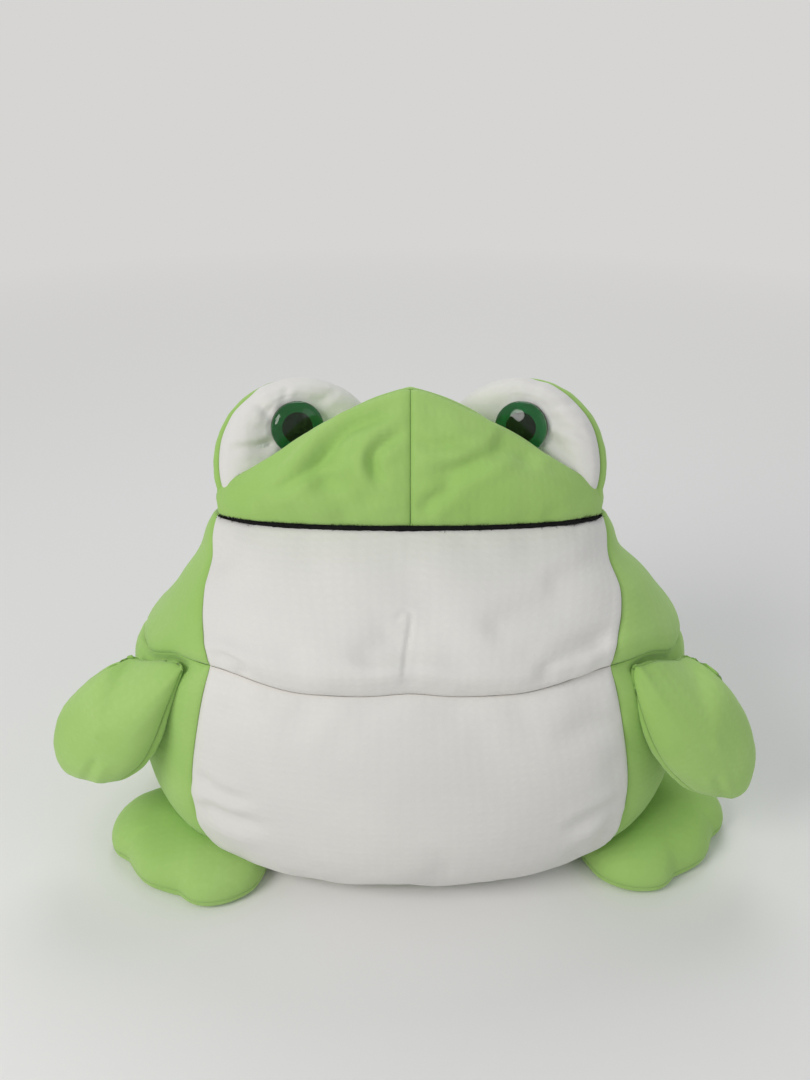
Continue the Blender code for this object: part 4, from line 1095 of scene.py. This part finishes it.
def meshPanel(name, surface, ways, seamShade, rows, cols, closed, poles, material, flat):
    high, wide = surface.shape[:2]
    index = np.arange(high * wide).reshape(high, wide)
    for row, pole in zip((0, -1), poles):
        if pole:
            index[row] = index[row, 0]
    after = np.roll(index, -1, axis=1) if closed else index[:, 1:]
    before = index if closed else index[:, :-1]
    faces = np.stack([before[:-1], after[:-1], after[1:], before[1:]], axis=-1).reshape(-1, 4)
    corners = surface.reshape(-1, 3)[faces]
    normals = np.cross(corners[:, 2] - corners[:, 0], corners[:, 3] - corners[:, 1])
    if (normals * ways.reshape(-1, 3)[faces[:, 0]]).sum() < 0:
        faces = faces[:, ::-1]
    item = addMesh(name, surface.reshape(-1, 3), [list(dict.fromkeys(face)) for face in faces.tolist()])
    mesh = item.data
    if flat is None:
        spots = np.stack([np.broadcast_to(cols.mean(axis=0), cols.shape), rows], axis=-1)
    else:
        spots = np.stack([(surface - flat[0]) @ flat[1], (surface - flat[0]) @ flat[2]], axis=-1)
    layer = mesh.uv_layers.new(name="weave")
    corner = np.empty(len(mesh.loops), int)
    mesh.loops.foreach_get("vertex_index", corner)
    layer.data.foreach_set("uv", spots.reshape(-1, 2)[corner].ravel())
    # the painted seam shade, stored per point for the knit material
    mark = mesh.attributes.new("seamShade", "FLOAT", "POINT")
    mark.data.foreach_set("value", seamShade.ravel().astype(np.float32))
    editAll((bpy.ops.mesh.delete_loose, {"use_faces": False}))
    mesh.shade_smooth()
    mesh.materials.append(material)
    return item


def giveThickness(item):
    solid = item.modifiers.new("thickness", "SOLIDIFY")
    solid.thickness = panel["thickness"]
    solid.offset = -1
    pick(item)
    bpy.ops.object.modifier_apply(modifier="thickness")


def formSolid(name, form, depth):
    # the whole form moved in by a depth, or out if it is below zero, less so at its two end points
    rings = np.arange(len(form["grid"]))
    near = ease(np.minimum(rings, rings[::-1]) / 3)
    grid = form["grid"] - form["ways"] * depth * near[:, None, None]
    return addForm(name, grid)


def solidVolume(item):
    # the volume of a closed mesh, nothing for an open one
    solid = bmesh.new()
    solid.from_mesh(item.data)
    closed = all(edge.is_manifold for edge in solid.edges)
    volume = solid.calc_volume(signed=True)
    solid.free()
    return volume if closed else 0


def mendCut(item):
    # a cut can leave slivers and pinholes along its edge
    solid = bmesh.new()
    solid.from_mesh(item.data)
    if any(not edge.is_manifold for edge in solid.edges):
        print("  open edges", item.name, sum(not edge.is_manifold for edge in solid.edges))
        bmesh.ops.remove_doubles(solid, verts=solid.verts, dist=0.00001)
        bmesh.ops.dissolve_degenerate(solid, edges=solid.edges, dist=0.00001)
        bmesh.ops.holes_fill(solid, edges=[edge for edge in solid.edges if edge.is_boundary], sides=12)
        bmesh.ops.triangulate(solid, faces=[face for face in solid.faces if len(face.verts) > 4])
        print("  left open", sum(not edge.is_manifold for edge in solid.edges))
        solid.to_mesh(item.data)
    solid.free()


# A cut that leaves a hole is made again with the cutter a few hundredths of a millimetre away
cut = {
    "nudges": ((0, 0, 0), (4, -3, 5), (-5, 4, 3), (3, 6, -5), (-7, -5, 4), (9, 3, -8)), "step": 0.00001,
    "least": 0.2, "most": 1.0001,  # how much of the piece's volume may be left
}


def cutWith(item, *cutters):
    pick(item)
    for cutter in cutters:
        whole, volume = item.data.copy(), solidVolume(item)
        for count, nudge in enumerate(cut["nudges"]):
            if count:
                item.data = whole.copy()
            cutter.location = Vector(nudge) * cut["step"]
            bpy.context.view_layer.update()
            modifier = item.modifiers.new("cut", "BOOLEAN")
            modifier.operation = "DIFFERENCE"
            modifier.solver = "EXACT"
            modifier.object = cutter
            bpy.ops.object.modifier_apply(modifier="cut")
            mendCut(item)
            left = solidVolume(item)
            if volume * cut["least"] < left < volume * cut["most"]:
                break
        else:
            item.data = whole.copy()
            print("  left whole")
        cutter.location = (0, 0, 0)
        print("  cut", item.name, "with", cutter.name, "kept", round(left * 1e6, 2), "of", round(volume * 1e6, 2),
              "ml after", count + 1)


def settle(item, node):
    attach(item, "body")
    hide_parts(node)
    print("made", item.name, len(item.data.polygons), "faces")


def clothe(item, node):
    giveThickness(item)
    settle(item, node)


def makeBodyPanels():
    first, waist, last = bodyForm["first"], bodyForm["waist"], bodyForm["last"]
    edge, columns = bodyForm["white"], bodyForm["columns"]
    rows = [
        ("chestPanel", (waist, last), (-edge, edge), white, "chest_panel", (0.45, 0.6, 0.6, 0.6), "chest", 0.0012),
        ("bellyPanel", (first, waist), (-edge, edge), white, "belly_panel", (0.6, 0.4, 0.6, 0.6), "belly", 0.0016),
    ]
    # the upper sides run a little way over the neck, under the ends of the head
    for level, rings, seams in (("Upper", (waist, last + 1), (0.8, 0.15, 0.6, 0.6)),
                                ("Lower", (first, waist), (0.7, 0.8, 0.6, 0.6))):
        for word, cols in (("Right", (edge, columns // 2)), ("Left", (columns // 2, columns - edge))):
            node = f"side_{level}_{word}".lower()
            rows.append((f"side{level}{word}", rings, cols, green, node, seams, "", panel["pitch"]))
    for seed, (name, rings, cols, material, node, seams, marks, pitch) in enumerate(rows):
        item = makePanel(name, bodyForm, rings, cols, material, seed + 1, seams, strokes.get(marks, ()), pitch=pitch)
        clothe(item, node)
    ways = np.identity(3)
    clothe(makePanel("basePanel", bodyForm, (0, first), None, green, 9, (0, 0.8, 0, 0),
                     flat=(np.zeros(3), ways[0], ways[1])), "base_panel")


def makeHeadPanels():
    half, snout, crown = headForm["half"], headForm["snout"], headForm["crown"]
    last = len(headForm["grid"]) - 1
    for word, rings in (("Left", (0, half)), ("Right", (half, last))):
        item = makePanel("snoutPanel" + word, headForm, rings, (0, snout), green, 20 + rings[0],
                         (0.7, 0.6, 0.7, 0.12), strokes["snout" + word], pitch=0.0012)
        clothe(item, "snout_panel_" + word.lower())
    clothe(makePanel("crownPanel", headForm, (0, last), (snout, snout + crown), green, 23, (1, 1, 0.12, 0.15)),
           "crown_panel")


def fillGrid(form):
    # the form drawn in by the cloth, and more along its seams, where the cloth turns in
    grid = form["grid"]
    if "rim" in form:
        origin, *axes = form["axes"]
        flat = (grid - origin) @ np.array(axes).T
        low, high = flat.reshape(-1, 3).min(axis=0), flat.reshape(-1, 3).max(axis=0)
        centre = (low + high) / 2
        centre[:2] = 0
        reach = np.minimum(high - centre, centre - low)
        flat = centre + (flat - centre) * (1 - np.array(form.get("fillInsets", panel["fillInsets"])) / reach)
        return origin + flat @ np.array(axes)
    seams = grid[form["seams"] > 0]
    tree = KDTree(len(seams))
    for index, spot in enumerate(seams):
        tree.insert(spot, index)
    tree.balance()
    far = np.array([tree.find(spot)[2] for spot in grid.reshape(-1, 3)]).reshape(grid.shape[:2])
    near = np.maximum(0, 1 - far / panel["seamReach"]) ** 2
    depth = panel["thickness"] + panel["fillGap"] + panel["seamFill"] * near
    depth[:2] *= 0.5
    depth[-2:] *= 0.5
    depth -= np.minimum(0, strokeShift(grid, form["ways"], form["strokes"]))
    return grid - form["ways"] * depth[..., None]


def sewLimb(item, node):
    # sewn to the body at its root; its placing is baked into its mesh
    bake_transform(item)
    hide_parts(node)
    print("made", item.name, len(item.data.polygons), "faces")


def fillPiece(name, form, cutters=()):
    item = addForm(name, fillGrid(form), fill)
    cutWith(item, *cutters)
    return item


def roundPiece(name, profile, ways, place, material):
    # spun from a profile of (radius, height) points that starts and ends on the axis or closes
    points = [(radius, 0, height) for radius, height in profile]
    edges = [(index, index + 1) for index in range(len(points) - 1)]
    if profile[0][0] > 0:
        edges.append((len(points) - 1, 0))
    item = addMesh(name, points, [], edges)
    spin = {"steps": eye["sides"], "angle": 2 * math.pi, "center": (0, 0, 0), "axis": (0, 0, 1)}
    editAll((bpy.ops.mesh.spin, spin),
            (bpy.ops.mesh.remove_doubles, {"threshold": 0.000005}),
            (bpy.ops.mesh.normals_make_consistent, {"inside": False}))
    mesh = item.data
    seat = Matrix.Identity(4)
    for index, way in enumerate((*ways, place)):
        seat.col[index][:3] = way
    mesh.transform(seat)
    mesh.update()
    bpy.ops.object.shade_smooth_by_angle(angle=math.radians(eye["smoothAngle"]))
    mesh.materials.append(material)
    return item


def makeEye(side, word, form):
    origin, across, along, facing = form["axes"]
    bed = lobe["faceBulge"] - eye["seatDepth"]
    place = origin + across * side * eye["outward"] + along * eye["above"] + facing * bed
    ways = (across, along, facing)
    gap, title = eye["gap"], word.capitalize()
    plate, face = eye["diameter"] / 2 - gap, gap + eye["plate"]
    stem, pupil, soft = eye["stem"] / 2, eye["pupil"] / 2, eye["soft"]
    start = eye["cloth"] + eye["washerThickness"] + 3 * gap
    pitch = (eye["stemLength"] - start) / eye["ribs"]
    post = [(0, -eye["stemLength"]), (stem - eye["rib"] - soft, -eye["stemLength"])]
    for rib in range(eye["ribs"]):
        low = -eye["stemLength"] + rib * pitch
        ridge = low + pitch / 2
        post += [(stem - eye["rib"], low + soft), (stem - soft, ridge), (stem, ridge + soft),
                 (stem, ridge + 3 * soft), (stem - eye["rib"], ridge + 4 * soft)]
    top = face + eye["irisThickness"]
    post += [(stem - eye["rib"], gap - soft), (stem - eye["rib"] + soft, gap), (plate - soft, gap),
             (plate, gap + soft), (plate, face - soft), (plate - soft, face), (pupil, face), (pupil, top - soft),
             (pupil - soft, top), (0, top)]
    irisIn, irisLow = pupil + gap, face + gap
    iris = [(irisIn, irisLow), (plate, irisLow), (plate, top - 3 * soft), (plate - 2 * soft, top - 2 * soft),
            (irisIn + 2 * soft, top), (irisIn, top - soft)]
    low, radius = top + gap, eye["diameter"] / 2
    lens = [(0, low), (radius - 2 * soft, low), (radius, low + 2 * soft)]
    for step in range(eye["lensSteps"] + 1):
        angle = math.pi / 2 * step / eye["lensSteps"]
        lens.append((radius * math.cos(angle) if step < eye["lensSteps"] else 0,
                     low + eye["lensEdge"] + (eye["lensHeight"] - eye["lensEdge"]) * math.sin(angle)))
    bore, lip, rim = stem + gap, eye["washerLip"], eye["washer"] / 2
    high = -eye["cloth"] - 2 * gap
    under = high - eye["washerThickness"]
    washer = [(bore, under - lip), (bore + lip - soft, under - lip), (bore + lip, under - lip + soft),
              (bore + 2 * lip, under), (rim - soft, under), (rim, under + soft), (rim, high - soft),
              (rim - soft, high), (bore, high)]
    for kind, profile, material, slotName in (
        ("Pupil", post, blackPlastic, "eye_black"), ("Iris", iris, greenPlastic, "eye_green"),
        ("Lens", lens, clearPlastic, "eye_lens"), ("Washer", washer, whitePlastic, "washer_white"),
    ):
        item = roundPiece("eye" + kind + title, profile, ways, place, material)
        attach(item, "body")
        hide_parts(f"eye_{kind.lower()}_{word}")
    clear, end, shelf = eye["clear"], -eye["stemLength"] - eye["clear"], under - lip - gap
    hollow = [(0, end), (stem + clear, end), (stem + clear, shelf), (rim + gap, shelf),
              (rim + gap, eye["hollowTop"]), (0, eye["hollowTop"])]
    return roundPiece("eyeHollow" + title, hollow, ways, place, None)


mouth = {
    "diameter": 0.0023, "endShare": 0.405, "rise": 0.3, "points": 260, "around": 14, "ply": 0.0062, "plyDepth": 0.06,
    "roughness": 0.06, "sink": 0.80, "farthest": 0.010, "halvings": 18, "calm": 6,
    "thinnest": 0.22, "taper": 0.045, "taperPower": 0.7, "blunt": 0.010,  # thin at its left end, blunt at the right
    "unevenness": 0.10, "unevenPitch": 0.018, "knot": 0.28, "knotPlace": -0.003, "knotReach": 0.006,
    "fibres": 700, "fibreLength": (0.0009, 0.0022), "fibreRadius": 0.00013, "fibreLean": (0.9, 0.9),
    "fibreBend": 0.9, "fibreTurn": 2.1, "fibreTaper": 0.25,
}


def makeMouth(pieces):
    middle, across, forward, upward = neckFrame()
    trees = []
    for item in pieces:
        mesh = item.data
        trees.append(BVHTree.FromPolygons([vertex.co for vertex in mesh.vertices],
                                          [tuple(face.vertices) for face in mesh.polygons]))
    count = mouth["points"]
    path, outs = [], []
    for angle in math.pi * mouth["endShare"] * np.linspace(-1, 1, count):
        start = bodyPoints(5, angle)[0, 0]
        aside, ahead = start[0], (start - middle) @ forward
        reach = neckFront if ahead > 0 else neckRear
        steep = body["squareness"] - 1
        out = across * power(aside / neckHalfWidth, steep) / neckHalfWidth
        out = out + forward * power(ahead / reach, steep) / reach
        way = unit(unit(out) + upward * mouth["rise"])
        # sunk a little way into the seam
        near, far = 0.0, mouth["farthest"]
        for _ in range(mouth["halvings"]):
            reach = (near + far) / 2
            spot = Vector(start + way * reach)
            if min(tree.find_nearest(spot)[3] for tree in trees) < mouth["diameter"] / 2 * mouth["sink"]:
                near = reach
            else:
                far = reach
        path.append(start + way * far)
        outs.append(way)
    path, outs = np.array(path), np.array(outs)
    for _ in range(mouth["calm"]):
        path[1:-1] = (path[:-2] + 2 * path[1:-1] + path[2:]) / 4
    along = unit(np.gradient(path, axis=0))
    outs = unit(outs - (outs * along).sum(axis=1, keepdims=True) * along)
    aside = np.cross(along, outs)
    length = lineLengths(path[:, None], 0)[:, 0]
    draw = np.random.default_rng(5)
    turn = 2 * math.pi * np.arange(mouth["around"]) / mouth["around"]
    taper = ease(length / mouth["taper"]) ** mouth["taperPower"] * ease((length[-1] - length) / mouth["blunt"])
    taper = mouth["thinnest"] + (1 - mouth["thinnest"]) * taper
    knot = np.exp(-((path[:, 0] - mouth["knotPlace"]) / mouth["knotReach"]) ** 2)
    thick = 1 + mouth["unevenness"] * waver(length, mouth["unevenPitch"], 3) + mouth["knot"] * knot
    radius = mouth["diameter"] / 2 * (taper * thick)[:, None]
    radius = radius * (1 + mouth["plyDepth"] * np.cos(2 * (turn[None] - math.pi * length[:, None] / mouth["ply"])))
    radius = radius * (1 + mouth["roughness"] * draw.standard_normal((count, mouth["around"])))
    tube = path[:, None] + radius[..., None] * (np.cos(turn)[None, :, None] * outs[:, None]
                                                + np.sin(turn)[None, :, None] * aside[:, None])
    ends = np.broadcast_to(path[:1, None], tube[:1].shape), np.broadcast_to(path[-1:, None], tube[:1].shape)
    tube = np.concatenate([ends[0], tube, ends[1]])
    points, faces = list(gridPoints(tube)), closedFaces(len(tube), mouth["around"])
    for _ in range(mouth["fibres"]):
        index = int(draw.integers(2, count - 2))
        lean = draw.normal(*mouth["fibreLean"])  # most fibres stand out of the cord's upper edge
        out = outs[index] * math.cos(lean) + np.sign(aside[index] @ upward) * aside[index] * math.sin(lean)
        size = draw.uniform(*mouth["fibreLength"])
        bend = unit(along[index] * draw.normal(0, mouth["fibreBend"]) + out)
        root = path[index] + out * mouth["diameter"] / 2 * taper[index] * 0.8
        spots = [root, root + out * size * 0.4, root + (out * 0.6 + bend * 0.4) * size * 0.8,
                 root + (out * 0.35 + bend * 0.65) * size]
        first, wide = len(points), unit(np.cross(along[index], out))
        for step, spot in enumerate(spots[:-1]):
            for corner in range(3):
                angle = mouth["fibreTurn"] * corner
                spoke = math.cos(angle) * along[index] + math.sin(angle) * wide
                points.append(spot + spoke * mouth["fibreRadius"] * (1 - mouth["fibreTaper"] * step))
        points.append(spots[-1])
        faces.append((first, first + 1, first + 2))
        for corner in range(3):
            after = (corner + 1) % 3
            for low in (first, first + 3):
                faces.append((low + corner, low + 3 + corner, low + 3 + after, low + after))
            faces.append((first + 6 + corner, first + 9, first + 6 + after))
    item = addMesh("mouthCord", points, faces)
    editAll((bpy.ops.mesh.normals_make_consistent, {"inside": False}))
    item.data.shade_smooth()
    item.data.materials.append(yarn)
    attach(item, "body")
    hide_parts("mouth_cord")
    print("made mouthCord", round(float(length[-1]) * 1000), "mm long")


def lobeFolds(form, side):
    # the face gathers towards the eye, most of all below it and outside
    origin, across, along = form["axes"][:3]

    def folds(points):
        aside = (points - origin) @ across - side * eye["outward"]
        above = (points - origin) @ along - eye["above"]
        far = np.hypot(aside, above) - eye["diameter"] / 2
        turn = np.arctan2(above, aside)
        waves = np.sin(7 * turn + side) + 0.8 * np.sin(11 * turn + 2) + 0.5 * np.sin(4 * turn + 1.3)
        more = 1 + 0.6 * np.cos(turn - math.radians(-90 + 45 * side))
        fade = ease(far / 0.0025) * np.exp(-np.maximum(far, 0) / lobe["foldReach"])
        return lobe["folds"] * waves / 1.6 * more * fade

    return folds


def rootFolds(form, side):
    # an arm gathers at its root
    origin, across, along = form["axes"][:3]

    def folds(points):
        aside = (points - origin) @ across
        below = arm["halfLength"] - (points - origin) @ along
        fade = np.exp(-np.maximum(below, 0) / arm["foldReach"])
        return arm["folds"] * waver(aside + arm["foldLean"] * below * side, arm["foldPitch"], 60 + side) * fade

    return folds


def makeLobePieces(side, word, title):
    form = lobeForms[word]
    rim, last = form["rim"], len(form["grid"]) - 1
    flat = form["axes"][:3]
    face = makePanel("lobeFace" + title, form, (1, rim), None, white, 31 + side, (0.01, 0.8, 0, 0),
                     strokes["lobe" + title], flat, lobeFolds(form, side), 0.0014)
    back = makePanel("lobeBack" + title, form, (rim, last), None, green, 34 + side, (1, 0, 0, 0), flat=flat)
    for item, kind, slotName in ((face, "face", "white_knit"), (back, "back", "green_knit")):
        giveThickness(item)
        cutWith(item, cutHead, cutBody)
        settle(item, f"lobe_{kind}_{word}")
    hollow = makeEye(side, word, form)
    settle(fillPiece("lobeFill" + title, form, (cutHead, cutBody, hollow)), "lobe_stuffing_" + word)
    bpy.data.objects.remove(hollow, do_unlink=True)


def makeLimb(limb, form, panels, word, title, folds=None, cutters=()):
    rim, last = form["rim"], len(form["grid"]) - 1
    flat = form["axes"][:3]
    for (kind, seed), rings, seams in zip(panels, ((0, rim), (rim, last)), ((0, 0.8, 0, 0), (0.8, 0, 0, 0))):
        marks = strokes.get(limb + title, ()) if kind == "Front" else ()
        item = makePanel(limb + kind + title, form, rings, None, green, seed, seams, marks, flat, folds)
        giveThickness(item)
        cutWith(item, *cutters)
        sewLimb(item, f"{limb}_{kind.lower()}_{word}")
    item = fillPiece(limb + "Fill" + title, form, cutters)
    sewLimb(item, f"{limb}_stuffing_{word}")


# The whole frog

makeCamera()
makeStudio()
green, white = knitMaterial("green"), knitMaterial("white")
fill = strandMaterial("fibreFill", 260.0, 6.0, ((0.70, 0.70, 0.68, 1), (0.92, 0.92, 0.90, 1)), (0.9, 0.001),
                      {"Roughness": 1.0, "Sheen Weight": 0.4}, Roughness=0.75, Distortion=1.6)
yarn = strandMaterial("blackYarn", 1400.0, 3.0, ((0.003, 0.003, 0.003, 1), (0.011, 0.010, 0.011, 1)), (0.6, 0.0003),
                      {"Roughness": 0.95, "Specular IOR Level": 0.2})
blackPlastic = plasticMaterial("blackPlastic", (0.004, 0.004, 0.005, 1), (0.002, 0.002, 0.003, 1), 0.12, 0.22,
                               {"Specular IOR Level": 0.12})
greenPlastic = plasticMaterial("greenPlastic", (0.030, 0.225, 0.110, 1), (0.016, 0.150, 0.070, 1), 0.25, 0.35)
whitePlastic = plasticMaterial("whitePlastic", (0.80, 0.80, 0.78, 1), (0.72, 0.72, 0.70, 1), 0.4, 0.55)
clearPlastic = lensMaterial()
print("camera, studio and materials")

bodyForm = makeBody()
headForm = makeHead()
lobeForms = {word: makeLobe(side, word) for side, word in sides}
armForms = {word: makeArm(side, word) for side, word in sides}
footForms = {word: makeFoot(side, word) for side, word in sides}

cutBody = formSolid("cutBody", bodyForm, panel["sunk"])
cutHead = formSolid("cutHead", headForm, panel["sunk"])

makeBodyPanels()
makeHeadPanels()
settle(fillPiece("bodyFill", bodyForm), "body_stuffing")
settle(fillPiece("headFill", headForm), "head_stuffing")
makeMouth([bpy.data.objects[name] for name in ("chestPanel", "snoutPanelLeft", "snoutPanelRight")])
for side, word in sides:
    title = word.capitalize()
    makeLobePieces(side, word, title)
    makeLimb("arm", armForms[word], (("Front", 41 + side), ("Back", 44 + side)), word, title,
             rootFolds(armForms[word], side))
    makeLimb("foot", footForms[word], (("Top", 51 + side), ("Sole", 54 + side)), word, title, cutters=(cutBody,))

for item in (cutBody, cutHead):
    bpy.data.objects.remove(item, do_unlink=True)
